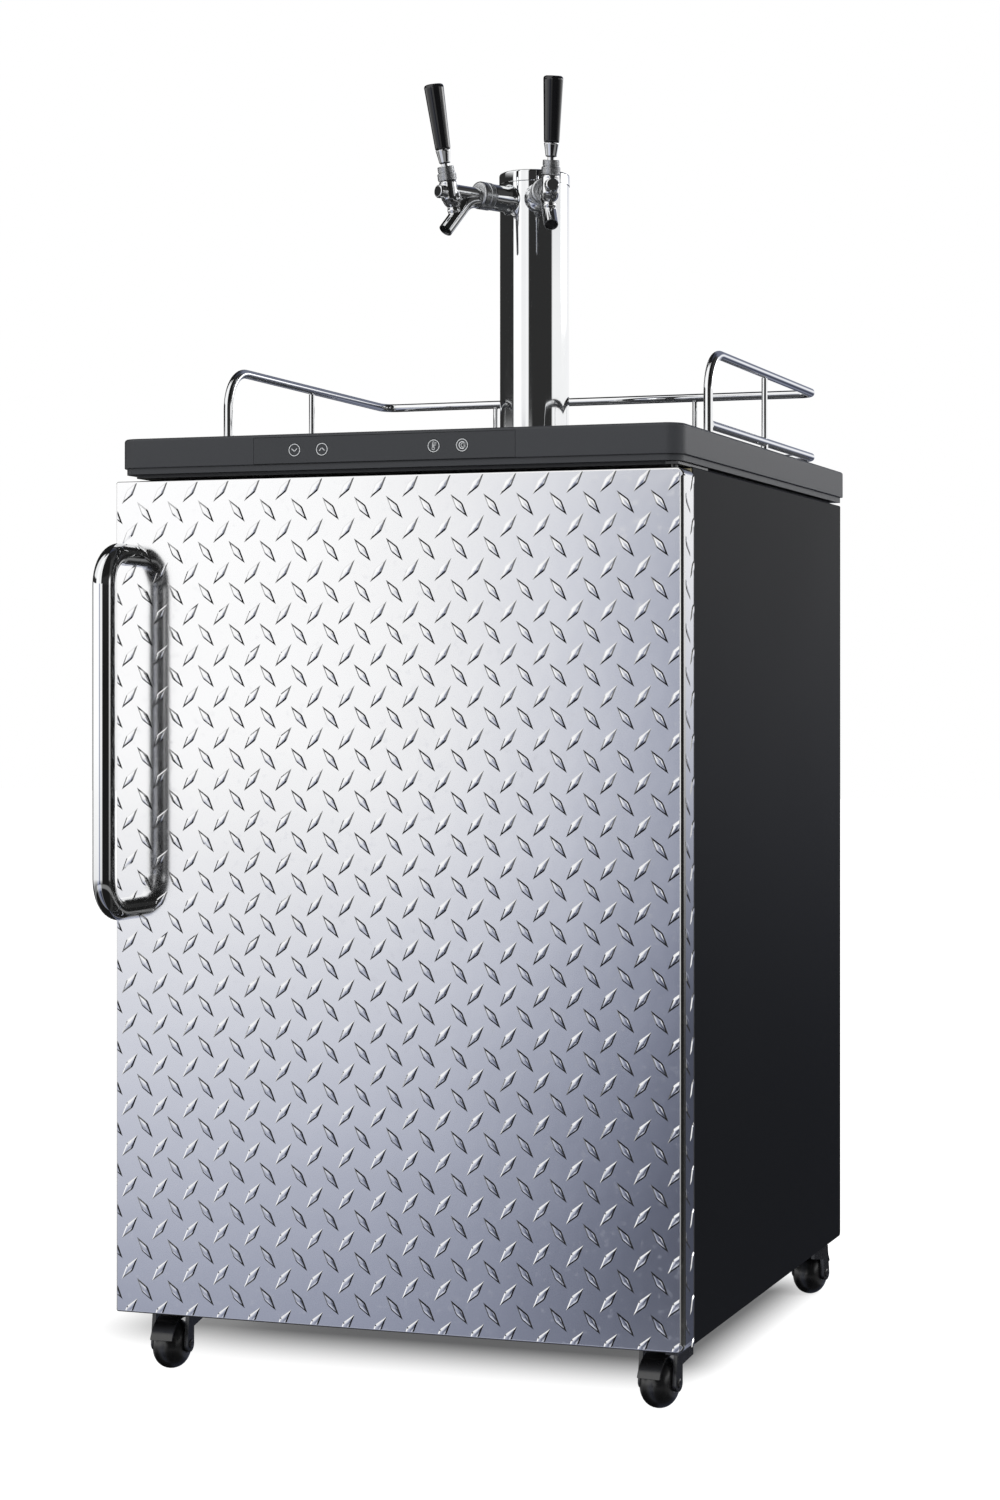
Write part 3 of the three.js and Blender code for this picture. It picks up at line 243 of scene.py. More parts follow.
def turned(name, profile, sides=64, ring=False):
    """A form turned round the Z axis from (radius, height) pairs: capped, or closed on itself as a ring."""
    deselect()
    radius, height = profile[0]
    bpy.ops.mesh.primitive_circle_add(
        vertices=sides, radius=radius * MM, location=(0, 0, height * MM), fill_type="NOTHING"
    )
    piece = settle(named(name))
    with Editing(piece) as edit:
        edit.pick("edges")
        ring_up(edit, [*profile, profile[0]] if ring else profile)
        if not ring:
            edit.cap()
        edit.tidy()
    return piece


def put(piece, matrix):
    """Moves a piece by a matrix whose lengths are in millimetres."""
    placed = matrix.copy()
    placed.translation = placed.translation * MM
    piece.matrix_world = placed
    return settle(piece)


def at(x=0.0, y=0.0, z=0.0):
    return Matrix.Translation((x, y, z))


def turn(degrees, axis):
    return Matrix.Rotation(math.radians(degrees), 4, axis)


TO_X = turn(90, "Y")
TO_FRONT = turn(90, "X")


def bent_tube(name, points, bends, radius, sides=28, steps=12):
    """A round tube along points, drawn by extruding its straights and spinning its bends."""
    points = [Vector(p) for p in points]
    ways = [(b - a).normalized() for a, b in zip(points, points[1:])]
    deselect()
    bpy.ops.mesh.primitive_circle_add(
        vertices=sides,
        radius=radius * MM,
        location=points[0] * MM,
        rotation=ways[0].to_track_quat("Z", "Y").to_euler(),
        fill_type="NOTHING",
    )
    piece = settle(named(name))
    with Editing(piece) as edit:
        edit.pick("edges")
        here = points[0]
        for corner, bend, before, after in zip(points[1:-1], bends, ways, ways[1:]):
            angle = before.angle(after)
            reach = bend * math.tan(angle / 2)
            start = corner - before * reach
            edit.extrude(*(start - here))
            inward = (after - before * before.dot(after)).normalized()
            # With no window, spin turns the other way, so the angle is negative.
            bpy.ops.mesh.spin(
                steps=steps,
                angle=-angle,
                center=(start + inward * bend) * MM,
                axis=before.cross(after).normalized(),
            )
            here = corner + after * reach
        edit.extrude(*(points[-1] - here)).cap().tidy()
    return piece


def modify(piece, kind, **settings):
    """Adds a modifier with its settings and applies it."""
    hold(piece)
    modifier = piece.modifiers.new(kind.title(), kind)
    for name, value in settings.items():
        setattr(modifier, name, value)
    bpy.ops.object.modifier_apply(modifier=modifier.name)
    return piece


def cut(piece, *tools):
    """Takes the tools' forms away from a piece."""
    for tool in tools:
        modify(piece, "BOOLEAN", operation="DIFFERENCE", solver="EXACT", object=tool)
        bpy.data.objects.remove(tool)
    return piece


def weld(piece, *others):
    """Joins pieces that touch into one solid."""
    for other in others:
        modify(piece, "BOOLEAN", operation="UNION", solver="EXACT", object=other)
        bpy.data.objects.remove(other)
    return piece


def gather(name, pieces):
    """Makes several forms one piece, each with its own closed mesh."""
    hold(*pieces)
    if len(pieces) > 1:
        bpy.ops.object.join()
    return named(name)


def copied(piece, name):
    hold(piece)
    bpy.ops.object.duplicate()
    return named(name)


def soften(piece, width, steps=2, angle=40):
    """Rounds a piece's sharp edges."""
    return modify(
        piece,
        "BEVEL",
        width=width * MM,
        segments=steps,
        limit_method="ANGLE",
        angle_limit=math.radians(angle),
        use_clamp_overlap=True,
    )


def even(piece, angle):
    """Smooths a piece's curves and keeps its flat faces flat."""
    hold(piece)
    bpy.ops.object.shade_smooth_by_angle(angle=math.radians(angle))
    return modify(piece, "WEIGHTED_NORMAL", mode="FACE_AREA", weight=50, keep_sharp=True)


def bar(name, start, end, width, depth):
    """A flat bar on the front, drawn between two (x, z) points."""
    start, end = Vector(start), Vector(end)
    line = end - start
    piece = block(name, (0, -depth, -width / 2), (line.length, 0, width / 2))
    return put(piece, at(start.x, 0, start.y) @ turn(-math.degrees(math.atan2(line.y, line.x)), "Y"))


# Shader helpers


class Value:
    """A number in a shader, so that its maths is written as Python."""

    def __init__(self, shader, socket):
        self.shader = shader
        self.socket = socket

    def math(self, operation, *others):
        values = dict(enumerate((self, *others)))
        node = self.shader.node("ShaderNodeMath", {"operation": operation}, values)
        return Value(self.shader, node.outputs[0])

    def flipped(self, operation, other):
        node = self.shader.node("ShaderNodeMath", {"operation": operation}, {0: other, 1: self})
        return Value(self.shader, node.outputs[0])

    def least(self, low):
        return self.math("MAXIMUM", low)

    def power(self, exponent):
        return self.math("POWER", exponent)

    def __add__(self, other):
        return self.math("ADD", other)

    def __sub__(self, other):
        return self.math("SUBTRACT", other)

    def __mul__(self, other):
        return self.math("MULTIPLY", other)

    def __truediv__(self, other):
        return self.math("DIVIDE", other)

    def __radd__(self, other):
        return self.flipped("ADD", other)

    def __rsub__(self, other):
        return self.flipped("SUBTRACT", other)

    def __rmul__(self, other):
        return self.flipped("MULTIPLY", other)

    def __rtruediv__(self, other):
        return self.flipped("DIVIDE", other)

    def ease(self, start, end, low=0.0, high=1.0):
        """Rises smoothly from low to high as the value goes from start to end."""
        node = self.shader.node(
            "ShaderNodeMapRange",
            {"interpolation_type": "SMOOTHSTEP"},
            {"Value": self, "From Min": start, "From Max": end, "To Min": low, "To Max": high},
        )
        return Value(self.shader, node.outputs["Result"])


class Shader:
    """A node tree that nodes are added to by one method."""

    def __init__(self, tree):
        self.tree = tree

    def node(self, kind, settings=None, inputs=None):
        node = self.tree.nodes.new(kind)
        for name, value in (settings or {}).items():
            setattr(node, name, value)
        for key, value in (inputs or {}).items():
            if isinstance(value, Value):
                value = value.socket
            if isinstance(value, bpy.types.NodeSocket):
                self.tree.links.new(value, node.inputs[key])
            else:
                node.inputs[key].default_value = value
        return node

    def value(self, node, output=0):
        return Value(self, node.outputs[output])

    def place(self, stretch=(1, 1, 1)):
        """Object coordinates in metres, stretched where a grain runs one way."""
        place = self.node("ShaderNodeTexCoord").outputs["Object"]
        return self.node("ShaderNodeMapping", None, {"Vector": place, "Scale": stretch}).outputs[0]

    def noise(self, scale, detail=2.0, stretch=(1, 1, 1)):
        """Noise from 0 to 1 whose patches are one over scale metres across."""
        node = self.node(
            "ShaderNodeTexNoise", None, {"Vector": self.place(stretch), "Scale": scale, "Detail": detail}
        )
        return self.value(node)

    def mixed(self, share, low, high):
        """A colour between two, by a share from 0 to 1."""
        node = self.node("ShaderNodeMix", {"data_type": "RGBA"}, {0: share})
        for key, value in ((6, low), (7, high)):
            if isinstance(value, bpy.types.NodeSocket):
                self.tree.links.new(value, node.inputs[key])
            else:
                node.inputs[key].default_value = (*value, 1.0)
        return node.outputs[2]


finishes = {}


def surface(slot):
    """The material of one slot, made when it is first asked for."""
    if slot not in finishes:
        finishes[slot] = make_surface(slot, **RECIPES[slot])
    return finishes[slot]


# One finish for each slot. Colours are linear, bump is (patches a metre, height in millimetres).
RECIPES = {
    "satin_black": dict(
        low=(0.0098, 0.0104, 0.0118), high=(0.0122, 0.0129, 0.0146),
        patch=3.0, rough=(0.34, 0.40), grain=(700.0, 0.03), specular=0.02,
    ),
    "textured_black": dict(
        low=(0.040, 0.042, 0.047), high=(0.052, 0.055, 0.061),
        patch=1500.0, rough=(0.38, 0.46), grain=(1300.0, 0.04), specular=0.42,
    ),
    "fascia_black": dict(
        low=(0.041, 0.043, 0.048), high=(0.048, 0.051, 0.056),
        patch=1100.0, rough=(0.42, 0.5), grain=(1600.0, 0.02), specular=0.42,
    ),
    "symbol_white": dict(
        low=(0.72, 0.74, 0.76), high=(0.80, 0.82, 0.83),
        patch=400.0, rough=(0.45, 0.55), grain=(1500.0, 0.01),
    ),
    "gloss_black": dict(
        low=(0.006, 0.006, 0.007), high=(0.009, 0.009, 0.010),
        patch=60.0, rough=(0.10, 0.16), grain=(90.0, 0.02), specular=0.5, coat=0.6,
    ),
    "tread_plate": dict(
        low=(0.86, 0.86, 0.866), high=(0.92, 0.92, 0.925),
        patch=6.0, rough=(0.09, 0.14), grain=(14.0, 0.10), metal=1.0, scuff=0.05,
    ),
    "chrome": dict(
        low=(0.86, 0.87, 0.88), high=(0.93, 0.935, 0.94),
        patch=25.0, rough=(0.025, 0.06), grain=(20.0, 0.004), metal=1.0, scuff=0.03,
    ),
    "knurled_chrome": dict(
        low=(0.60, 0.61, 0.62), high=(0.80, 0.81, 0.82),
        patch=900.0, rough=(0.22, 0.36), grain=(2600.0, 0.06), metal=1.0,
    ),
    "brushed_steel": dict(
        low=(0.50, 0.505, 0.51), high=(0.66, 0.665, 0.67),
        patch=500.0, rough=(0.26, 0.40), grain=(900.0, 0.02), metal=1.0, stretch=(0.03, 1.0, 1.0),
    ),
    "galvanised": dict(
        low=(0.36, 0.375, 0.39), high=(0.58, 0.59, 0.60),
        patch=90.0, rough=(0.36, 0.55), grain=(160.0, 0.03), metal=0.85, spangle=True,
    ),
    "white_liner": dict(
        low=(0.74, 0.75, 0.745), high=(0.80, 0.81, 0.805),
        patch=5.0, rough=(0.30, 0.40), grain=(500.0, 0.02), specular=0.45,
    ),
    "foam": dict(
        low=(0.62, 0.55, 0.36), high=(0.74, 0.67, 0.46),
        patch=260.0, rough=(0.85, 0.95), grain=(420.0, 0.35),
    ),
    "door_edge": dict(
        low=(0.030, 0.031, 0.033), high=(0.042, 0.043, 0.046),
        patch=300.0, rough=(0.55, 0.68), grain=(700.0, 0.04),
    ),
    "gasket": dict(
        low=(0.055, 0.056, 0.058), high=(0.075, 0.076, 0.079),
        patch=120.0, rough=(0.55, 0.7), grain=(900.0, 0.03),
    ),
    "grey_plastic": dict(
        low=(0.20, 0.21, 0.22), high=(0.27, 0.28, 0.29),
        patch=700.0, rough=(0.45, 0.6), grain=(1100.0, 0.04),
    ),
    "circuit_board": dict(
        low=(0.010, 0.075, 0.030), high=(0.020, 0.13, 0.050),
        patch=900.0, rough=(0.3, 0.45), grain=(1500.0, 0.03),
    ),
    "caster_black": dict(
        low=(0.006, 0.006, 0.007), high=(0.012, 0.012, 0.013),
        patch=300.0, rough=(0.22, 0.30), grain=(700.0, 0.02), specular=1.0,
    ),
    "wheel_rubber": dict(
        low=(0.006, 0.006, 0.0065), high=(0.011, 0.011, 0.012),
        patch=250.0, rough=(0.24, 0.32), grain=(600.0, 0.02), specular=0.9,
    ),
}


def make_surface(
    slot, low, high, patch, rough, grain, metal=0.0, specular=0.5, coat=0.0, scuff=0.0,
    stretch=(1, 1, 1), spangle=False,
):
    material = bpy.data.materials.new(slot)
    material.use_nodes = True
    tree = material.node_tree
    tree.nodes.clear()
    shader = Shader(tree)
    if spangle:
        cells = shader.node("ShaderNodeTexVoronoi", None, {"Vector": shader.place(), "Scale": patch})
        split = shader.node("ShaderNodeSeparateColor", None, {0: cells.outputs["Color"]})
        share = shader.value(split, 0) * 0.7 + shader.noise(patch * 3) * 0.3
    else:
        share = shader.noise(patch, 3.0, stretch)
    color = shader.mixed(share, low, high)
    smear = shader.noise(patch * 0.37 + 2.0, 2.0, stretch)
    roughness = smear * (rough[1] - rough[0]) + rough[0]
    if scuff:
        roughness = roughness + shader.noise(120.0, 4.0).ease(0.58, 0.75) * scuff
    bump = shader.node(
        "ShaderNodeBump",
        None,
        {
            "Strength": 1.0,
            "Distance": grain[1] * MM,
            "Height": shader.noise(grain[0], 3.0, stretch),
        },
    )
    principled = shader.node(
        "ShaderNodeBsdfPrincipled",
        None,
        {
            "Base Color": color,
            "Roughness": roughness,
            "Metallic": metal,
            "Specular IOR Level": specular,
            "Coat Weight": coat,
            "Coat Roughness": 0.05,
            "Normal": bump.outputs[0],
        },
    )
    shader.node("ShaderNodeOutputMaterial", None, {"Surface": principled.outputs[0]})
    return material


def dress(piece, body, slot, replaces=()):
    """Gives a piece its finish, the body that it rides on and the frame nodes that it stands for."""
    piece.data.materials.clear()
    piece.data.materials.append(surface(slot))
    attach(piece, body)
    slot if slot != "symbol_white" else "display"
    if replaces:
        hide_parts(*replaces)


def finish(piece, body, slot, replaces=(), angle=35, name=None):
    """Smooths a finished piece and dresses it."""
    settle(piece)
    if name:
        piece.name = name
        piece.data.name = name
    even(piece, angle)
    dress(piece, body, slot, replaces)


# Sizes and colours that a user would change


def size_property(name, description, default, low, high):
    """A length in metres that a user can change."""
    return bpy.props.FloatProperty(
        name=name, description=description, default=default, min=low, max=high, unit="LENGTH"
    )


class KegeratorSizes(bpy.types.PropertyGroup):
    """Sizes of the details that the frame leaves open."""

    lug_length: size_property("Lug length", "Length of a raised lug of the door plate", 0.0287, 0.01, 0.032)
    lug_width: size_property("Lug width", "Width of a raised lug across its middle", 0.0084, 0.005, 0.01)
    lug_height: size_property("Lug height", "How far a lug stands off the plate", 0.0009, 0.0003, 0.00095)
    lug_pitch_x: size_property(
        "Lug pitch across", "Distance between like lugs across the door", 0.0338, 0.03, 0.05
    )
    lug_pitch_z: size_property(
        "Lug pitch up", "Distance between like lugs up the door", 0.0408, 0.035, 0.06
    )
    lug_lean: bpy.props.FloatProperty(
        name="Lug lean", description="How steeply a lug lies on the plate",
        default=math.radians(51.6), subtype="ANGLE",
    )
    liner_corner: size_property("Liner corner", "Radius of the liner's inner corners", 0.014, 0.002, 0.03)


class KegeratorColours(bpy.types.PropertyGroup):
    """Colours of the stage."""

    floor: bpy.props.FloatVectorProperty(
        name="Floor", description="Colour of the floor under the cabinet",
        default=(0.5, 0.5, 0.5), size=3, min=0.0, max=1.0, subtype="COLOR",
    )


def sizes():
    return bpy.context.scene.kegerator_sizes


# Door plate


def make_lug(name, flip):
    """One raised lug on the front: a long diamond with sharp ends and rounded shoulders."""
    chosen = sizes()
    length = chosen.lug_length / MM / 2
    width = chosen.lug_width / MM / 2
    height = chosen.lug_height / MM
    deselect()
    bpy.ops.mesh.primitive_circle_add(vertices=4, radius=MM, fill_type="NGON")
    piece = settle(named(name))
    with Editing(piece) as edit:
        edit.pick("verts").resize(length, width, 1, (0, 0, 0))
        edit.pick("verts", lambda m, _: abs(m.y) > width / 2)
        bpy.ops.mesh.bevel(offset=1.7 * MM, segments=3, affect="VERTICES")
        edit.pick("faces")
        edit.extrude(z=0.1).inset(1.3, height * 0.78).inset(1.4, height * 0.2)
        edit.tidy()
    side = -1 if flip else 1
    piece.scale = (side, 1, 1)
    settle(piece)
    with Editing(piece) as edit:
        edit.tidy()
    lean = math.degrees(chosen.lug_lean) * side
    return put(piece, at(0, PLATE_FRONT + 0.1, 0) @ turn(-lean, "Y") @ TO_FRONT)


def lug_rows(lug, name, start, columns, rows):
    """A field of like lugs, its first one at (x, z)."""
    chosen = sizes()
    field = put(copied(lug, name), at(start[0], 0, start[1]))
    for count, offset in ((columns, (chosen.lug_pitch_x, 0, 0)), (rows, (0, 0, -chosen.lug_pitch_z))):
        modify(
            field, "ARRAY", count=count, use_relative_offset=False,
            use_constant_offset=True, constant_offset_displace=offset,
        )
    return field


def trim_height(edit, edge):
    """Cuts lugs off along the plate's upper and lower edges."""
    edit.keep_side((0, 0, PLATE_TOP - edge), (0, 0, 1))
    edit.keep_side((0, 0, PLATE_BOTTOM + edge), (0, 0, -1))


def pin_hole(length, bottom):
    """Room for the hinge pins."""
    return put(turned("pin_hole", [(3.9, 0), (3.9, length)], 32), at(284, -254, bottom))


class KEGERATOR_OT_door_plate(bpy.types.Operator):
    """Tread plate wrap of the door, with its raised lugs on the front and on both sides"""

    bl_idname = "kegerator.door_plate"
    bl_label = "Door plate"

    def execute(self, context):
        low = (-PLATE_SIDE, PLATE_FRONT, PLATE_BOTTOM)
        high = (PLATE_SIDE, PLATE_REAR, PLATE_TOP)
        plate = block("door_plate", low, high)
        with Editing(plate) as edit:
            edit.pick("faces", lambda _, way: way.y > 0.9).delete_faces()
            edit.pick("edges", lambda m, way: abs(way.y) > 0.9 and m.x > 0).bevel(8.2, 8)
            edit.pick("edges", lambda m, way: abs(way.y) > 0.9 and m.x < 0).bevel(2.2, 4)
            edit.pick(
                "edges", lambda m, way: near(m.y, PLATE_FRONT) and abs(way.y) < 0.1
            ).bevel(2.0, 5)
            # The edge over the hinges is rounder than the others.
            edit.pick(
                "verts", lambda m, _: m.x > PLATE_SIDE - 2.1 and m.y < PLATE_FRONT + 2.1
                and PLATE_BOTTOM + 8 < m.z < PLATE_TOP - 8,
            ).resize(2.5, 2.5, 1, (PLATE_SIDE, PLATE_FRONT, 0))
        modify(plate, "SOLIDIFY", thickness=0.3 * MM, offset=-1)
        rising = make_lug("lug_rising", False)
        falling = make_lug("lug_falling", True)
        fields = []
        for lug, x, z, columns in ((rising, -283.3, 883.8, 18), (falling, -300.2, 904.2, 19)):
            fields.append(lug_rows(lug, "lugs", (x, z), columns, LUG_COLUMN))
        front = gather("front_lugs", fields)
        edge, round_edge = 2.0, 4.9
        with Editing(front) as edit:
            edit.keep_side((PLATE_SIDE - round_edge, 0, 0), (1, 0, 0))
            edit.keep_side((-PLATE_SIDE + edge, 0, 0), (-1, 0, 0))
            trim_height(edit, edge)
        sides = []
        for way, spots in ((1, ((falling, 9.2, 904.2), (rising, 26.1, 883.8))),
                           (-1, ((falling, 1.2, 904.2), (rising, 18.0, 883.8)))):
            for lug, back, z in spots:
                column = lug_rows(lug, "side_lugs", (0, z), 1, LUG_COLUMN)
                # A quarter turn lays the lugs on the plate's side, this far from its front edge.
                spot = at(way * PLATE_SIDE, PLATE_FRONT + back, 0) @ turn(90 * way, "Z")
                sides.append(put(column, spot @ at(0, -PLATE_FRONT, 0)))
        side = gather("side_lugs", sides)
        with Editing(side) as edit:
            edit.keep_side((0, PLATE_REAR - 0.6, 0), (0, 1, 0))
            edit.keep_side((0, PLATE_FRONT + round_edge, 0), (0, -1, 0))
            trim_height(edit, edge)
        for lug in (rising, falling):
            bpy.data.objects.remove(lug)
        lugs = gather("lugs", [front, side])
        even(lugs, 18)
        cut(plate, pin_hole(900, 30))
        even(plate, 35)
        dress(gather("door_plate", [plate, lugs]), "door", "tread_plate", ["door_skin"])

        low, high = span("door_core")
        body = block(
            "door_body", (low.x + 0.2, PLATE_FRONT + 7, low.z + 0.2), (high.x - 0.2, high.y, high.z - 0.2)
        )
        with Editing(body) as edit:
            edit.pick("edges", lambda m, way: abs(way.y) > 0.9 and m.x > 0).bevel(7.5, 6)
            edit.pick("edges", lambda m, way: abs(way.y) > 0.9 and m.x < 0).bevel(1.6, 3)
        cut(body, pin_hole(60, 18), pin_hole(60, 881))
        finish(soften(body, 0.5, 2, 50), "door", "door_edge", ["door_core"])
        return {"FINISHED"}


class KEGERATOR_OT_door_fittings(bpy.types.Operator):
    """The door's bar, seal and inner panel"""

    bl_idname = "kegerator.door_fittings"
    bl_label = "Door fittings"

    def execute(self, context):
        top, bottom, reach, x = 821.0, 469.0, -324.0, -281.0
        root = PLATE_FRONT - 0.15
        tube = bent_tube(
            "door_bar",
            [(x, root, top), (x, reach, top), (x, reach, bottom), (x, root, bottom)],
            [32, 32], 11, sides=40, steps=16,
        )
        finish(tube, "door", "chrome", ["door_handle"])

        low, high = span("door_gasket")
        seal = block("door_seal", low, high)
        with Editing(seal) as edit:
            edit.pick("faces", lambda _, way: abs(way.y) > 0.9).inset(14)
            edit.pick(
                "faces", lambda m, way: abs(way.y) > 0.9 and near(m.x, (low.x + high.x) / 2, 1)
                and near(m.z, (low.z + high.z) / 2, 1),
            )
            bpy.ops.mesh.bridge_edge_loops()
            edit.tidy()
            edit.pick("faces", lambda _, way: abs(way.x) > 0.9 or abs(way.z) > 0.9)
            edit.inset(1.6).inset(0.5, -0.9)
        soften(seal, 0.8, 3)
        finish(seal, "door", "gasket", ["door_gasket"])

        low, high = span("door_liner")
        panel = block("door_inner_panel", low, high)
        with Editing(panel) as edit:
            edit.pick("edges", lambda m, way: abs(way.y) > 0.9).bevel(26, 8)
            edit.pick("faces", lambda _, way: way.y > 0.9).inset(14).inset(8, -8)
        soften(panel, 2.6, 4, 30)
        finish(panel, "door", "white_liner", ["door_liner"])
        return {"FINISHED"}


class KEGERATOR_OT_cabinet(bpy.types.Operator):
    """Sheet metal wrap of the cabinet, its liner tub and the screws of its back"""

    bl_idname = "kegerator.cabinet"
    bl_label = "Cabinet"

    def execute(self, context):
        wrap = block("cabinet_wrap", SHELL_LOW, SHELL_HIGH)
        with Editing(wrap) as edit:
            edit.pick("faces", lambda _, way: abs(way.y) > 0.9 or way.z < -0.9).delete_faces()
            edit.pick("edges", lambda m, way: near(m.z, SHELL_HIGH.z) and abs(m.x) > 290).bevel(2.0, 4)
        modify(wrap, "SOLIDIFY", thickness=1.2 * MM, offset=-1)
        with Editing(wrap) as edit:
            edit.pick(
                "edges", lambda m, way: abs(way.x) > 0.9 and near(m.z, SHELL_LOW.z) and m.y > 300
            ).bevel(4.0, 5)
        cut(wrap, put(turned("line_hole", [(28, -20), (28, 20)]), at(0, TOWER_Y, SHELL_HIGH.z)))
        soften(wrap, 0.35, 2)
        finish(wrap, "cabinet", "satin_black", ["cabinet_shell"])

        room = block(
            "liner_tub", (-ROOM_SIDE, LINER_LOW.y - 20, ROOM_FLOOR), (ROOM_SIDE, ROOM_REAR, ROOM_CEILING)
        )
        step = block("step", (-400, STEP_FRONT, 0), (400, 400, STEP_TOP))
        cut(room, step)
        corner = sizes().liner_corner / MM
        with Editing(room) as edit:
            edit.pick("edges", lambda m, way: m.y > LINER_LOW.y - 19 and abs(way.y) > 0.9)
            edit.bevel(corner, 4)
            edit.keep_side((0, LINER_LOW.y, 0), (0, -1, 0))
            edit.pick("edges", lambda m, way: m.y > LINER_LOW.y + 100 and near(abs(way.x), 1, 0.01))
            edit.bevel(corner * 0.8, 4)
            edit.pick("faces", lambda m, way: near(m.y, LINER_LOW.y) and way.y < -0.9).delete_faces()
            middle_z = (ROOM_FLOOR + ROOM_CEILING) / 2
            rim_z = (LINER_LOW.z + LINER_HIGH.z) / 2
            edit.pick("edges", lambda m, way: near(m.y, LINER_LOW.y))
            edit.extrude()
            edit.resize(
                LINER_HIGH.x / ROOM_SIDE, 1, (LINER_HIGH.z - LINER_LOW.z) / (ROOM_CEILING - ROOM_FLOOR),
                (0, LINER_LOW.y, middle_z),
            )
            edit.shift(z=rim_z - middle_z)
            edit.tidy(inside=True)
        modify(room, "SOLIDIFY", thickness=1.5 * MM, offset=1)
        cut(room, put(turned("line_hole", [(28, -30), (28, 30)]), at(0, TOWER_Y, ROOM_CEILING)))
        finish(room, "cabinet", "white_liner", ["inner_liner"])

        spots = [(x, z) for x in (-284, -142, 0, 142, 284) for z in (886, 287, 77)]
        spots += [(x, z) for x in (-284, 284) for z in (486, 686)]
        head = turned("screw", [(4.2, 0), (4.2, 0.7), (3.4, 1.7), (2.0, 2.2)], 20)
        slot = block("slot", (-2.6, -0.45, 1.0), (2.6, 0.45, 3))
        cross = block("slot", (-0.45, -2.6, 1.0), (0.45, 2.6, 3))
        cut(head, slot, cross)
        screws = []
        for x, z in spots:
            if abs(x) < 200 and 60 < z < 100:
                continue
            screws.append(put(copied(head, "screw"), at(x, SHELL_HIGH.y, z) @ turn(-90, "X")))
        bpy.data.objects.remove(head)
        finish(gather("back_screws", screws), "cabinet", "brushed_steel")

        low, high = span("cord_inlet")
        centre = (low + high) / 2
        gland = turned(
            "cord_gland",
            [(15, 0.3), (15, 1.7), (14.3, 2.3), (11.4, 2.3), (11, 2.8), (11, 5.0), (10.4, 5.5), (6, 5.5),
             (5.5, 5.0), (5.5, 2.3)], 40,
        )
        put(gland, at(centre.x, SHELL_HIGH.y, centre.z) @ turn(-90, "X"))
        finish(gland, "cabinet", "grey_plastic", ["cord_inlet"])
        return {"FINISHED"}


class KEGERATOR_OT_worktop(bpy.types.Operator):
    """Worktop slab with its rounded edges and the seat of the control strip"""

    bl_idname = "kegerator.worktop"
    bl_label = "Worktop"

    def execute(self, context):
        low, high = TOP_LOW, TOP_HIGH
        lip_top = low.z + 3.2 + 6.0

        def outer(m):
            near_side = abs(m.x) > high.x - 1 or m.y > high.y - 1 or m.y < low.y + 1
            return near_side or abs(m.x) + abs(m.y) > 545

        slab = block("worktop_slab", (low.x, low.y, lip_top), high)
        with Editing(slab) as edit:
            edit.pick("edges", lambda m, way: abs(way.z) > 0.9 and m.y < 0).bevel(18, 10)
            edit.pick("faces", lambda m, way: way.z < -0.9).inset(2.5).extrude(z=-6)
            edit.inset(9.5).extrude(z=-3.2)
            edit.pick("edges", lambda m, way: near(m.z, high.z) and abs(way.z) < 0.1, 30).bevel(3.0, 5)
            edit.pick("edges", lambda m, way: near(m.z, lip_top) and near(way.z, 0) and outer(m), 30)
            edit.bevel(0.8, 2)
        gap = Vector((0.35, 0.35, 0.35))
        seat_low, seat_high = STRIP_LOW - gap, STRIP_HIGH + gap
        seat = block("seat", (seat_low.x, low.y - 5, seat_low.z), seat_high)
        board_low, board_high = span("control_board")
        pocket = block(
            "pocket", (board_low.x - 4, low.y + 1, board_low.z - 0.4),
            (board_high.x + 4, board_high.y + 4, board_high.z + 0.4),
        )
        passage = put(turned("passage", [(28, -60), (28, 20)], 96), at(0, TOWER_Y, high.z))
        hinge_low, hinge_high = span("top_hinge")
        hinge = block(
            "hinge_room", (hinge_low.x - 0.4, low.y - 5, 880),
            (hinge_high.x + 0.4, hinge_high.y + 0.4, lip_top - 6.05),
        )
        cut(slab, seat, pocket, passage, hinge)
        finish(slab, "cabinet", "textured_black", ["worktop"], angle=30)
        return {"FINISHED"}


def flat_ring(name, radius, line, depth, sides=48):
    """A thin raised ring on the front."""
    inner, outer = radius - line / 2, radius + line / 2
    profile = [(inner, 0), (outer, 0), (outer, depth), (inner, depth)]
    return put(turned(name, profile, sides, ring=True), TO_FRONT)


def arc_of(name, radius, line, depth, start, end, centre=(0, 0), pieces=10):
    """Short bars set end to end along an arc, on the front."""
    corners = [
        (centre[0] + radius * math.cos(math.radians(start + (end - start) * i / pieces)),
         centre[1] + radius * math.sin(math.radians(start + (end - start) * i / pieces)))
        for i in range(pieces + 1)
    ]
    return [bar(name, a, b, line, depth) for a, b in zip(corners, corners[1:])]


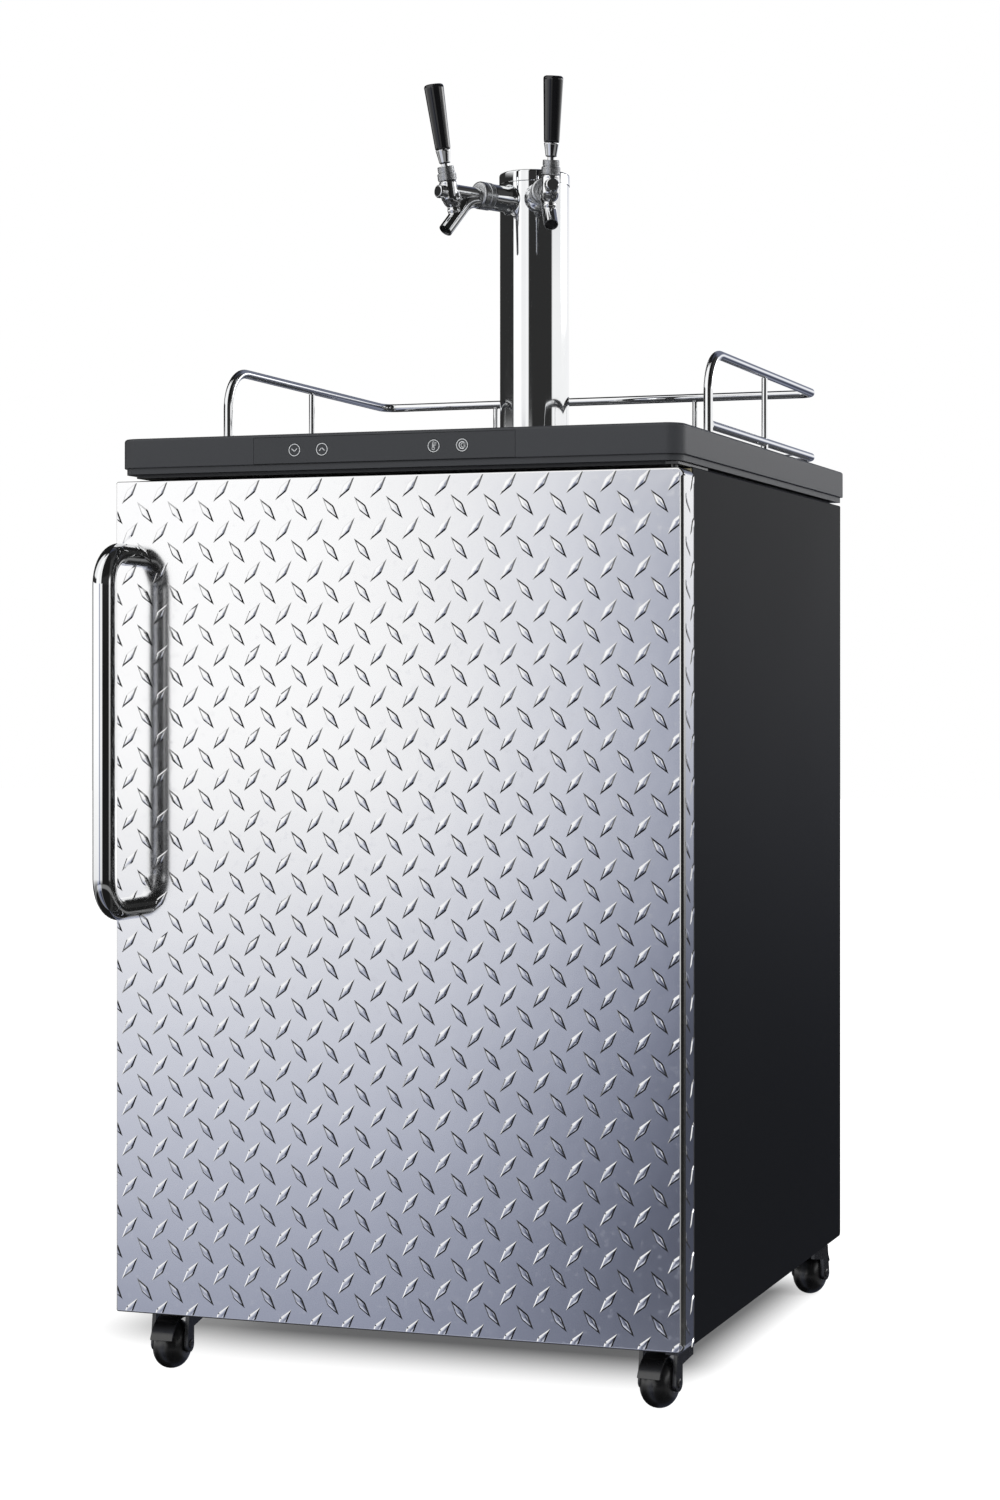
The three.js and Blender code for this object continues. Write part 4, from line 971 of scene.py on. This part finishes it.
def symbol_of(key, depth):
    """The bars and rings of one key's sign, round the key's middle."""
    line = 0.55

    def mark(start, end, width=line):
        return bar("mark", start, end, width, depth)

    if key in ("colder", "warmer"):
        down = 1 if key == "colder" else -1
        return [
            mark((-2.9, 1.4 * down), (0.2, -1.7 * down), 0.8), mark((-0.2, -1.7 * down), (2.9, 1.4 * down), 0.8)
        ]
    if key == "units":
        bulb = put(flat_ring("mark", 1.35, line, depth, 24), at(-0.3, 0, -2.4))
        stem = [mark((x, -1.4), (x, 3.2)) for x in (-1.15, 0.55)]
        top = arc_of("mark", 0.85, line, depth, 0, 180, (-0.3, 3.1), 6)
        ticks = [mark((1.5, z), (2.9, z), 0.4) for z in (0.6, 1.9, 3.2)]
        return [bulb, *stem, *top, mark((-0.3, -2.2), (-0.3, 1.2), 0.6), *ticks]
    crescent = arc_of("mark", 3.3, 1.0, depth, 60, 300, (0.3, 0), 12)
    crescent += arc_of("mark", 2.0, line, depth, 75, 285, (1.0, 0), 8)
    return crescent + [mark((1.6, z), (3.6, z), 0.45) for z in (-1.9, -0.6, 0.7, 2.0)]


class KEGERATOR_OT_controls(bpy.types.Operator):
    """Control strip with its dark display, and the four touch keys with their signs"""

    bl_idname = "kegerator.controls"
    bl_label = "Controls"

    def execute(self, context):
        low, high = STRIP_LOW, STRIP_HIGH
        middle = (low.z + high.z) / 2
        strip = block("control_strip", low, high)
        for x in KEYS.values():
            cut(strip, put(turned("key_hole", [(6.85, -10), (6.85, 10)], 48), at(x, low.y, middle) @ TO_FRONT))
        soften(strip, 0.35, 2, 50)
        finish(strip, "cabinet", "fascia_black", ["control_fascia", "display_window"], angle=30)
        for key, x in KEYS.items():
            place = at(x, low.y, middle)
            cap = turned("cap", [(6.6, -5.4), (6.6, -0.25), (6.35, 0)], 48)
            put(cap, place @ TO_FRONT)
            finish(cap, key, "fascia_black", [f"key_{key}"], name=f"{key}_key")
            depth = 0.08
            ring = flat_ring("ring", 5.75, 0.75, depth)
            sign = gather(f"{key}_sign", [ring, *symbol_of(key, depth)])
            put(sign, place)
            finish(sign, key, "symbol_white")
        return {"FINISHED"}


class KEGERATOR_OT_guard_rail(bpy.types.Operator):
    """Chrome guard rail: the upper tube with its front legs, and the lower tube with posts and feet"""

    bl_idname = "kegerator.guard_rail"
    bl_label = "Guard rail"

    def execute(self, context):
        x, front, rear, top, low = 266.5, -90.0, 317.0, 1026.5, 953.0
        foot = WORKTOP + 0.3
        upper = bent_tube(
            "guard_rail_upper",
            [(-x, front, foot), (-x, front, top), (-x, rear, top),
             (x, rear, top), (x, front, top), (x, front, foot)],
            [42, 16, 16, 42], 4.75, steps=14,
        )
        washers = [
            put(turned("washer", [(4.9, 0), (7.4, 0), (7.6, 0.4), (7.2, 1.2), (4.9, 1.6)], 32, ring=True),
                at(side * x, front, foot)) for side in (-1, 1)
        ]
        finish(gather("guard_rail_upper", [upper, *washers]), "cabinet", "chrome", ["guard_rail_top"])
        start = front + 5.05
        lower = bent_tube(
            "guard_rail_lower",
            [(-x, start, low), (-x, rear, low), (x, rear, low), (x, start, low)],
            [16, 16], 4.75,
        )
        middle = (front + rear) / 2
        parts = [lower]
        for px, py in ((-x, middle), (-124, rear), (124, rear), (x, middle)):
            parts.append(put(turned("post", [(3.2, low), (3.2, top - 4.95), (2.4, top - 4.4)], 24), at(px, py)))
            foot_profile = [(6.9, 0), (7.0, 0.8), (6.2, 1.8), (4.3, 2.4), (4.0, 4), (4.0, low - foot)]
            parts.append(put(turned("foot", foot_profile, 28), at(px, py, foot)))
        finish(gather("guard_rail_lower", parts), "cabinet", "chrome", ["guard_rail_low"])
        return {"FINISHED"}


class KEGERATOR_OT_tower(bpy.types.Operator):
    """Chrome tower: base ring, column and rounded cap"""

    bl_idname = "kegerator.tower"
    bl_label = "Tower"

    def execute(self, context):
        base = turned(
            "tower_ring", [(28, 0), (51.2, 0), (52, 0.8), (52, 2.2), (51, 3.4), (49.5, 4), (28, 4)], 128,
            ring=True,
        )
        finish(put(base, at(0, TOWER_Y, WORKTOP + 0.3)), "cabinet", "chrome", ["tower_flange"])
        column = turned(
            "tower_column", [(36.5, 942.1), (38.1, 942.1), (38.1, 1243.2), (36.5, 1243.2)], 160, ring=True
        )
        for side in TAPS.values():
            hole = turned("shank_hole", [(9.3, 0), (9.3, 60)], 48)
            cut(column, put(hole, at(0, 0, SHANK_Z) @ turn(-90 + side * TAP_ANGLE, "Z") @ TO_X))
        finish(put(column, at(0, TOWER_Y)), "cabinet", "chrome", ["tower_column"], name="tower_tube")
        cap = turned(
            "tower_lid",
            [(36.2, 1235.5), (36.2, 1243.5), (38.6, 1243.5), (38.9, 1243.9), (38.9, 1253.6), (38.4, 1255.0),
             (37.0, 1255.8), (34.0, 1256.0), (20.0, 1256.0), (2.0, 1256.0)], 128,
        )
        finish(put(cap, at(0, TOWER_Y)), "cabinet", "chrome", ["tower_cap"])
        return {"FINISHED"}


def knurl(piece, heights, columns, depth):
    """Raises every other column of faces between two heights."""
    whole = 2 * math.pi

    def ridge(middle, way):
        column = int(math.atan2(middle.y, middle.x) % whole / whole * columns)
        return heights[0] < middle.z < heights[1] and abs(way.z) < 0.2 and column % 2 == 0

    with Editing(piece) as edit:
        edit.pick("faces", ridge)
        bpy.ops.mesh.extrude_region_shrink_fatten(TRANSFORM_OT_shrink_fatten={"value": depth * MM})
    return piece


def make_tap_forms():
    """One tap along the X axis, away from the tower: {piece: (mesh object, slot, moves with the lever)}."""
    shank = turned(
        "shank",
        [(9, 23.1), (9, 34), (16.5, 34), (16.5, 38.6), (15.2, 40.5), (14.4, 43.5), (14.2, 47), (14.2, 62.6),
         (13.4, 64), (12, 64), (12, 71.4), (11.4, 71.7)], 72,
    )
    put(shank, TO_X)
    hollow = turned("hollow", [(38.45, -40), (38.45, 40)], 160)
    pin = put(turned("pin", [(9, 23.1), (9, 44)], 48), TO_X)
    cut(shank, hollow)
    shank = gather("shank", [shank, pin])

    long = NUT_END - NUT_START
    nut = turned(
        "nut",
        [(12.3, 0), (13.6, 0), (14.6, 0.5), (14.9, 1.1), (14.9, 1.4), (14.55, 1.5), (14.55, 6.4),
         (14.9, 6.5), (14.9, 7.0), (14.3, 7.5), (14.3, 7.9), (14.9, 8.4), (14.9, 9.0), (14.55, 9.1),
         (14.55, 11.4), (15.0, 11.5), (15.0, 13.6), (14.6, 15.0), (13.6, 16.0), (12.0, long),
         (7.9, long), (7.9, long - 5.4), (12.3, long - 5.4)],
        96, ring=True,
    )
    knurl(nut, (1.6, 6.3), 96, 0.35)
    knurl(nut, (9.2, 11.3), 96, 0.35)
    put(nut, TO_X @ at(z=NUT_START))

    lean = turn(LEVER_LEAN, "Y")
    barrel = put(turned("barrel", [(7.4, 72.4), (11.9, 72.4), (11.9, 75), (7.6, 75), (7.6, LEVER_X)], 64), TO_X)
    head = put(turned("head", [(8.2, -11), (9.3, -9.6), (9.3, 9.2), (8.9, 10)], 64), at(LEVER_X) @ lean)
    front = put(turned("front", [(7.0, -4), (7.0, 11.6), (6.0, 12.2)], 56), at(LEVER_X, 0, -2.7) @ TO_X)
    chin_profile = [
        (10 * math.cos(math.radians(a)), 10 * math.sin(math.radians(a))) for a in range(-84, 85, 12)
    ]
    chin = put(turned("chin", chin_profile, 48), at(LEVER_X - 4, 0, -9))
    throat_profile = [(radius * 0.72, height * 0.72) for radius, height in chin_profile]
    throat = put(turned("throat", throat_profile, 48), at(LEVER_X - 7, 0, -20.5))
    spout = bent_tube(
        "spout", [(NUT_END + 0.3, 0, -7), (94, 0, -7), (132, 0, -52.4)], [24], 7.6, sides=48, steps=14
    )
    web = block("web", (92, -3.4, -22), (118, 3.4, -1))
    with Editing(web) as edit:
        edit.pick("verts", lambda m, _: m.x < 100 and m.z < -10).shift(x=7, z=8)
    faucet = gather("faucet", [barrel, head, front, chin, throat, spout, web])
    modify(faucet, "REMESH", mode="VOXEL", voxel_size=0.62 * MM, use_smooth_shade=True)
    modify(faucet, "SMOOTH", factor=0.5, iterations=9)
    # The mouth is cut square to the spout.
    end = at(124.7, 0, -43.6) @ turn(-39.9, "Y")
    drop = put(block("drop", (-30, -30, -40), (30, 30, 0)), end)
    cut(faucet, drop, put(turned("mouth", [(6.5, -5), (6.2, 12)], 48), end))
    # Painted shade: a black plug a little way inside the mouth stands for the dark of the spout's hollow bore.
    bore = put(turned("bore", [(6.1, 1.0), (6.1, 3.4), (5.6, 3.8)], 48), end)
    groove = turned("groove", [(9.0, 7.0), (13, 7.0), (13, 7.7), (9.0, 7.7)], 64, ring=True)
    cut(faucet, put(groove, at(LEVER_X) @ lean))
    cap_profile = [(6.0, 10.6), (7.2, 11.6), (7.3, 13.4), (6.7, 14.6), (6.0, 15.0), (5.5, 15.4)]
    faucet = gather("faucet", [faucet, put(turned("front_cap", cap_profile, 56), at(LEVER_X, 0, -2.7) @ TO_X)])

    bonnet = turned(
        "bonnet",
        [(7.3, 10.3), (9.3, 10.3), (10.0, 11.0), (10.0, 11.6), (9.7, 11.8), (9.7, 16.8), (10.0, 17.0),
         (10.0, 17.6), (9.3, 18.3), (8.1, 18.5), (8.1, 18.9), (8.8, 19.3), (8.5, 19.5), (8.5, 24.0),
         (8.8, 24.2), (8.8, 24.8), (8.1, 25.4), (7.4, 25.4), (5.5, 19.0), (7.3, 12.5)],
        96, ring=True,
    )
    knurl(bonnet, (11.9, 16.7), 96, 0.38)
    knurl(bonnet, (19.6, 23.9), 96, 0.34)

    # The ball's arc, from its lower rim to the stem, seen from the pivot.
    arc = [math.radians(34 + (129 - 34) * i / 8) for i in range(9)]
    ball = [(5 * math.sin(angle), LEVER_PIVOT - 5 * math.cos(angle)) for angle in arc]
    lever = turned(
        "lever",
        [(2.8, 12.5), (2.8, 14.6), *ball, (3.8, 24.6), (3.8, 28.2), (5.4, 28.6), (6.0, 29.4), (6.1, 30.2),
         (7.75, 41.2), (8.1, 42.0), (7.9, 42.8), (7.2, 43.0), (4.0, 43.0), (4.0, 67.0)], 56,
    )
    grip = turned(
        "grip",
        [(4.3, 43.3), (7.6, 43.3), (8.1, 43.9), (8.35, 46), (10.5, 108.2), (10.55, 109.6), (10.25, 110.9),
         (9.35, 112.0), (7.9, 112.6), (7.4, 112.5), (7.2, 111.7), (3.0, 111.9), (0.6, 112.0)], 72,
    )
    upright = at(LEVER_X) @ lean
    for piece in (bonnet, lever, grip):
        put(piece, upright)
    return {
        "shank": (shank, "chrome", False),
        "coupling_nut": (nut, "knurled_chrome", False),
        "faucet_body": (faucet, "chrome", False),
        "spout_bore": (bore, "caster_black", False),
        "bonnet": (bonnet, "knurled_chrome", False),
        "lever": (lever, "chrome", True),
        "tap_handle": (grip, "gloss_black", True),
    }


class KEGERATOR_OT_taps(bpy.types.Operator):
    """Both taps, modelled once and copied to each side of the tower"""

    bl_idname = "kegerator.taps"
    bl_label = "Taps"

    def execute(self, context):
        forms = make_tap_forms()
        for side, sign in TAPS.items():
            place = at(0, TOWER_Y, SHANK_Z) @ turn(-90 + sign * TAP_ANGLE, "Z")
            for part, (form, slot, moves) in forms.items():
                piece = put(copied(form, f"{side}_{part}_look"), place)
                body = f"{side}_tap" if moves else "cabinet"
                finish(piece, body, slot, [] if part == "spout_bore" else [f"{side}_{part}"], angle=40)
        for form, _, _ in forms.values():
            bpy.data.objects.remove(form)
        return {"FINISHED"}


class KEGERATOR_OT_drip_tray(bpy.types.Operator):
    """Drip tray with its slotted grille"""

    bl_idname = "kegerator.drip_tray"
    bl_label = "Drip tray"

    def execute(self, context):
        low, high = span("drip_tray")
        tray = block("drip_pan", low, high)
        with Editing(tray) as edit:
            edit.pick("edges", lambda _, way: abs(way.z) > 0.9).bevel(14, 8)
            edit.pick("faces", lambda _, way: way.z > 0.9).inset(1.5).extrude(z=-2.9)
            edit.inset(3.0)
            edit.extrude(z=-13.6)
            edit.pick("edges", lambda m, way: near(m.z, high.z) and abs(way.z) < 0.1).bevel(0.5, 2)
            edit.pick("edges", lambda m, way: near(m.z, low.z) and abs(way.z) < 0.1).bevel(1.2, 3)
        finish(tray, "cabinet", "brushed_steel", ["drip_tray"])

        low, high = span("drip_grille")
        grille = block("drip_grating", low, high)
        with Editing(grille) as edit:
            edit.pick("edges", lambda _, way: abs(way.z) > 0.9).bevel(12.2, 8)
        slot = block("slot", (-3.5, -44, low.z - 5), (3.5, 44, high.z + 5))
        with Editing(slot) as edit:
            edit.pick("edges", lambda _, way: abs(way.z) > 0.9).bevel(3.49, 6)
        middle = (low.y + high.y) / 2
        slots = [put(copied(slot, "slot"), at((i - 7) * 15.5, middle)) for i in range(15)]
        bpy.data.objects.remove(slot)
        cut(grille, gather("slots", slots))
        soften(grille, 0.35, 2, 50)
        finish(grille, "cabinet", "brushed_steel", ["drip_grille"])
        return {"FINISHED"}


def make_caster_forms():
    """One caster with its swivel on the Z axis: {piece: (mesh object, slot, body's end)}."""
    crown_top, inner, outer = 56.0, 16.2, 20.2
    legs = []
    for side in (-1, 1):
        leg = block("leg", (inner, -28, 17), (outer, -12.4, crown_top))
        with Editing(leg) as edit:
            edit.pick("edges", lambda m, way: abs(way.x) > 0.9 and m.z < 20).bevel(7.6, 6)
            edit.pick("verts", lambda m, _: m.y < -20 and m.z > 50).shift(y=4)
        # A shoulder reaches back from the leg's top to under the swivel.
        shoulder = block("shoulder", (inner, -16, 46), (outer, 12, crown_top))
        with Editing(shoulder) as edit:
            edit.pick("verts", lambda m, _: m.y < 0 and m.z < 50).shift(z=-5)
        leg = weld(leg, shoulder)
        leg.scale = (side, 1, 1)
        settle(leg)
        with Editing(leg) as edit:
            edit.tidy()
        legs.append(leg)
    crown = block("crown", (-outer, -12, crown_top - 3), (outer, 12, crown_top))
    with Editing(crown) as edit:
        edit.pick("edges", lambda m, way: abs(way.y) > 0.9 and m.z > crown_top - 1).bevel(2.4, 4)
    fork = weld(crown, *legs)
    soften(fork, 0.9, 3, 50)
    # The hood follows the wheel from its front to its top.
    hood = put(turned("hood", [(26.0, -12), (28.4, -12), (28.4, 12), (26.0, 12)], 96, ring=True), TO_X)
    with Editing(hood) as edit:
        edit.keep_side((0, 0, 8), (0, 0, -1))
        edit.keep_side((0, 6, 0), (0, 1, 0))
    soften(hood, 0.8, 3, 50)
    put(hood, at(0, -TRAIL, WHEEL_RADIUS))
    race = turned(
        "race",
        [(12.5, 53.0), (12.5, 57.6), (11.7, 58.2), (11.7, 59.0), (12.5, 59.6), (12.5, 62.6), (12, 63.2)], 48,
    )
    stem = turned("stem", [(5, 56), (5, 76.6), (4.2, 77.5)], 32)
    fork = gather("fork", [fork, hood, race, stem])

    axle = turned(
        "axle",
        [(2.2, -21.4), (3.8, -21.0), (4.6, -20.4), (4.8, -19.9), (3.5, -19.9),
         (3.5, 19.9), (4.8, 19.9), (4.6, 20.4), (3.8, 21.0), (2.2, 21.4)], 32,
    )
    hub = at(0, -TRAIL, WHEEL_RADIUS)
    put(axle, hub @ TO_X)

    # The tread bulges between the wheel's two sides, fuller than a half circle.
    side, half_width, fullness = 9.0, 15.7, 0.86
    tread = []
    for i in range(17):
        angle = math.radians(-90 + 180 * i / 16)
        bulge = max(0.0, math.cos(angle)) ** fullness
        tread.append((side + (WHEEL_RADIUS - side) * bulge, half_width * math.sin(angle)))
    wheel = turned("wheel", [(3.9, -15.0), (8.2, -15.0), *tread, (8.2, 15.0), (3.9, 15.0)], 72, ring=True)
    put(wheel, hub @ TO_X)
    return {
        "caster_fork": (fork, "caster_black", "swivel"),
        "caster_axle": (axle, "caster_black", "swivel"),
        "caster_wheel": (wheel, "wheel_rubber", "wheel"),
    }


class KEGERATOR_OT_casters(bpy.types.Operator):
    """The four casters, modelled once and copied to each corner"""

    bl_idname = "kegerator.casters"
    bl_label = "Casters"

    def execute(self, context):
        forms = make_caster_forms()
        for corner, (x, y, heading) in CASTERS.items():
            for part, (form, slot, end) in forms.items():
                piece = put(copied(form, f"{corner}_{part}_look"), at(x, y) @ turn(heading, "Z"))
                finish(piece, f"{corner}_{end}", slot, [f"{corner}_{part}"])
        for form, _, _ in forms.values():
            bpy.data.objects.remove(form)
        return {"FINISHED"}


NODE_SLOTS = {
    "foam_insulation": "foam",
    "back_panel": "galvanised",
    "compressor_cover": "galvanised",
    "base_plate": "galvanised",
    "keg_floor_plate": "galvanised",
    "evaporator_cover": "white_liner",
    "fan_housing": "grey_plastic",
    "fan_rotor": "grey_plastic",
    "compressor": "caster_black",
    "top_hinge": "caster_black",
    "bottom_hinge": "caster_black",
    "control_board": "circuit_board",
}


class KEGERATOR_OT_frame_finish(bpy.types.Operator):
    """Finishes of the frame's own parts that stay as they are"""

    bl_idname = "kegerator.frame_finish"
    bl_label = "Frame finishes"

    def execute(self, context):
        for node, slot in NODE_SLOTS.items():
            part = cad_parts[node]
            if not part.material_slots:
                raise RuntimeError(f"{node} has no material slot")
            for held in part.material_slots:
                held.material = surface(slot)
        return {"FINISHED"}


def make_floor(color):
    """A pale floor that glows white to the camera but for the object's shadow, which is partly real and partly
    painted: the glow is held back in a box under the cabinet.
    """
    deselect()
    bpy.ops.mesh.primitive_plane_add(size=30)
    floor = named("floor")
    material = bpy.data.materials.new("floor")
    material.use_nodes = True
    material.node_tree.nodes.clear()
    shader = Shader(material.node_tree)
    diffuse = shader.node("ShaderNodeBsdfDiffuse", None, {"Color": (*color, 1.0)})
    split = shader.node("ShaderNodeSeparateXYZ", None, {0: shader.node("ShaderNodeTexCoord").outputs["Object"]})
    x, y = shader.value(split, 0), shader.value(split, 1)
    # How far a spot lies outside the painted shadow, which ends sharply on the right and softly elsewhere.
    across = (x - 0.22).least(0.0) * 2.0 + (-0.33 - x).least(0.0)
    along = (-0.04 - y).least(0.0) + (y - 0.30).least(0.0)
    away = (across * across + along * along).math("SQRT")
    # Painted shadow: the camera's glow is full outside the box and falls to nothing under the cabinet, over the
    # floor's real shadow.
    glow_outside_painted_shadow = away.ease(-0.04, 0.16, 0.0, 1.0)
    light = shader.node("ShaderNodeEmission", None, {"Color": (1, 1, 1, 1), "Strength": glow_outside_painted_shadow})
    seen = shader.node("ShaderNodeLightPath").outputs["Is Camera Ray"]
    glow = shader.node("ShaderNodeMixShader", None, {0: seen, 2: light.outputs[0]})
    both = shader.node("ShaderNodeAddShader", None, {0: diffuse.outputs[0], 1: glow.outputs[0]})
    shader.node("ShaderNodeOutputMaterial", None, {"Surface": both.outputs[0]})
    floor.data.materials.append(material)
    floor.visible_glossy = False


def make_world(scene):
    """Plain white light, and the studio's bright and dark panels for what metal mirrors."""
    world = bpy.data.worlds.new("studio")
    world.use_nodes = True
    world.node_tree.nodes.clear()
    shader = Shader(world.node_tree)
    way = shader.node("ShaderNodeTexCoord").outputs["Generated"]
    split = shader.node("ShaderNodeSeparateXYZ", None, {0: way})
    x, y, z = (shader.value(split, i) for i in range(3))
    degrees = 180 / math.pi
    round_way = x.math("ARCTAN2", y * -1.0) * degrees
    rise = z.math("ARCSINE") * degrees
    # The door mirrors a panel that dims to the right and downwards.
    right = ((round_way + 28.1) / 10.0).least(0.0).math("MINIMUM", 1.15).power(2.8)
    right = right * round_way.ease(-8.0, -15.0, 0.1, 1.0)
    down = ((-0.9 - rise) / 11.2).least(0.0).math("MINIMUM", 1.3).power(1.15)
    shade = ((250.0 - right * 92.0 - down * 102.0) / 255.0).least(0.12)
    high = rise.ease(4.6, 6.0)
    narrow = round_way.ease(-55.0, -51.0) * round_way.ease(3.0, -1.0)
    wide = round_way.ease(-108.0, -100.0) * round_way.ease(16.0, 8.0) * rise.ease(-26.0, -20.0)
    front = narrow.least(wide * (1.0 - high))
    rear = round_way.ease(78.0, 84.0).least(round_way.ease(-157.0, -161.0))
    # The cabinet's side and the rails mirror the rear beyond here, and the taps this side of it.
    far = round_way.math("ABSOLUTE").ease(140.0, 152.0)
    behind = rise.ease(-8.0, 6.0, far * 0.035 + 0.02, 0.95) * rise.ease(8.0, 17.0, 1.0, far * 0.12 + 0.04)
    behind = behind * rise.ease(42.0, 56.0, 1.0, 0.2)
    bright = front * shade.power(2.2) * 1.15
    bright = bright.least(rear * behind)
    upper = round_way.ease(-95.0, -88.0) * round_way.ease(3.0, -1.0) * rise.ease(12.0, 16.0)
    bright = bright.least(upper.least(high * narrow) * rise.ease(62.0, 72.0, 0.93, 0.08))
    ground = rise.ease(-13.5, -17.0) * (rise.ease(-27.0, -23.0) * 0.2 + narrow * rise.ease(-34.0, -28.0) * 0.4)
    strip = round_way.ease(118.0, 124.0) * round_way.ease(158.0, 152.0)
    strip = strip * rise.ease(7.0, 9.0) * rise.ease(17.0, 14.0)
    level = bright.least(ground) + 0.012 + rise.ease(0.0, 5.0) * rise.ease(24.0, 18.0) * 0.016
    level = level.least(strip * 4.0)
    shown = level.power(1 / 2.2)
    door_way = round_way.ease(-45.0, -38.0) * round_way.ease(-4.0, -10.0) * (1.0 - high)
    cast = shown * (1.0 - shown).least(0.0) * door_way.least(rear * far * 0.8)
    green = (shown + cast * 0.08).power(2.2)
    blue = (shown + cast * 0.38).power(2.2)
    tint = shader.node("ShaderNodeCombineColor", None, {0: level, 1: green, 2: blue})
    mirror = shader.node("ShaderNodeBackground", None, {"Color": tint.outputs[0], "Strength": 1.0})
    plain = shader.node("ShaderNodeBackground", None, {"Color": (1, 1, 1, 1), "Strength": 0.5})
    white = shader.node("ShaderNodeBackground", None, {"Color": (1, 1, 1, 1), "Strength": 1.0})
    path = shader.node("ShaderNodeLightPath")
    seen = shader.value(path, "Is Camera Ray").least(path.outputs["Is Transmission Ray"])
    glossy = path.outputs["Is Glossy Ray"]
    shiny = shader.node("ShaderNodeMixShader", None, {0: glossy, 1: plain.outputs[0], 2: mirror.outputs[0]})
    whole = shader.node("ShaderNodeMixShader", None, {0: seen, 1: shiny.outputs[0], 2: white.outputs[0]})
    shader.node("ShaderNodeOutputWorld", None, {"Surface": whole.outputs[0]})
    scene.world = world


class KEGERATOR_OT_stage(bpy.types.Operator):
    """Floor, studio light and the camera"""

    bl_idname = "kegerator.stage"
    bl_label = "Stage"

    def execute(self, context):
        make_floor(context.scene.kegerator_colours.floor)
        make_world(context.scene)
        for name, place, size, power in (
            ("key_light", (0.9, -3.4, 2.6), 2.4, 50.0),
            ("right_light", (3.2, -0.9, 2.6), 2.2, 25.0),
        ):
            deselect()
            aim = (Vector((0, 0, 0.6)) - Vector(place)).to_track_quat("-Z", "Y").to_euler()
            bpy.ops.object.light_add(type="AREA", location=place, rotation=aim)
            lamp = bpy.context.object
            lamp.name = name
            lamp.data.size = size
            lamp.data.energy = power
            lamp.visible_glossy = False
            lamp.visible_camera = False
        deselect()
        bpy.ops.object.camera_add(
            location=CAMERA_PLACE, rotation=(math.radians(90), 0, math.radians(CAMERA_TURN))
        )
        camera = bpy.context.object
        camera.data.lens = CAMERA_LENS
        camera.data.sensor_width = 36.0
        camera.data.shift_x, camera.data.shift_y = CAMERA_SHIFT
        context.scene.camera = camera
        context.scene.view_settings.view_transform = "Standard"
        return {"FINISHED"}


class KEGERATOR_PT_pieces(bpy.types.Panel):
    """Lists the kegerator's pieces"""

    bl_idname = "KEGERATOR_PT_pieces"
    bl_label = "Kegerator"
    bl_space_type = "VIEW_3D"
    bl_region_type = "UI"
    bl_category = "Kegerator"

    def draw(self, context):
        column = self.layout.column()
        for name in KegeratorSizes.__annotations__:
            column.prop(context.scene.kegerator_sizes, name)
        column.prop(context.scene.kegerator_colours, "floor")
        for operator in OPERATORS:
            column.operator(operator.bl_idname)


OPERATORS = (
    KEGERATOR_OT_frame_finish,
    KEGERATOR_OT_cabinet,
    KEGERATOR_OT_door_plate,
    KEGERATOR_OT_door_fittings,
    KEGERATOR_OT_worktop,
    KEGERATOR_OT_controls,
    KEGERATOR_OT_guard_rail,
    KEGERATOR_OT_tower,
    KEGERATOR_OT_taps,
    KEGERATOR_OT_drip_tray,
    KEGERATOR_OT_casters,
    KEGERATOR_OT_stage,
)
CLASSES = (KegeratorSizes, KegeratorColours, *OPERATORS, KEGERATOR_PT_pieces)


def register():
    for one in CLASSES:
        bpy.utils.register_class(one)
    bpy.types.Scene.kegerator_sizes = bpy.props.PointerProperty(type=KegeratorSizes)
    bpy.types.Scene.kegerator_colours = bpy.props.PointerProperty(type=KegeratorColours)


def unregister():
    del bpy.types.Scene.kegerator_colours
    del bpy.types.Scene.kegerator_sizes
    for one in reversed(CLASSES):
        bpy.utils.unregister_class(one)


def main():
    register()
    for operator in OPERATORS:
        group, name = operator.bl_idname.split(".")
        getattr(getattr(bpy.ops, group), name)()


if __name__ == "__main__":
    main()
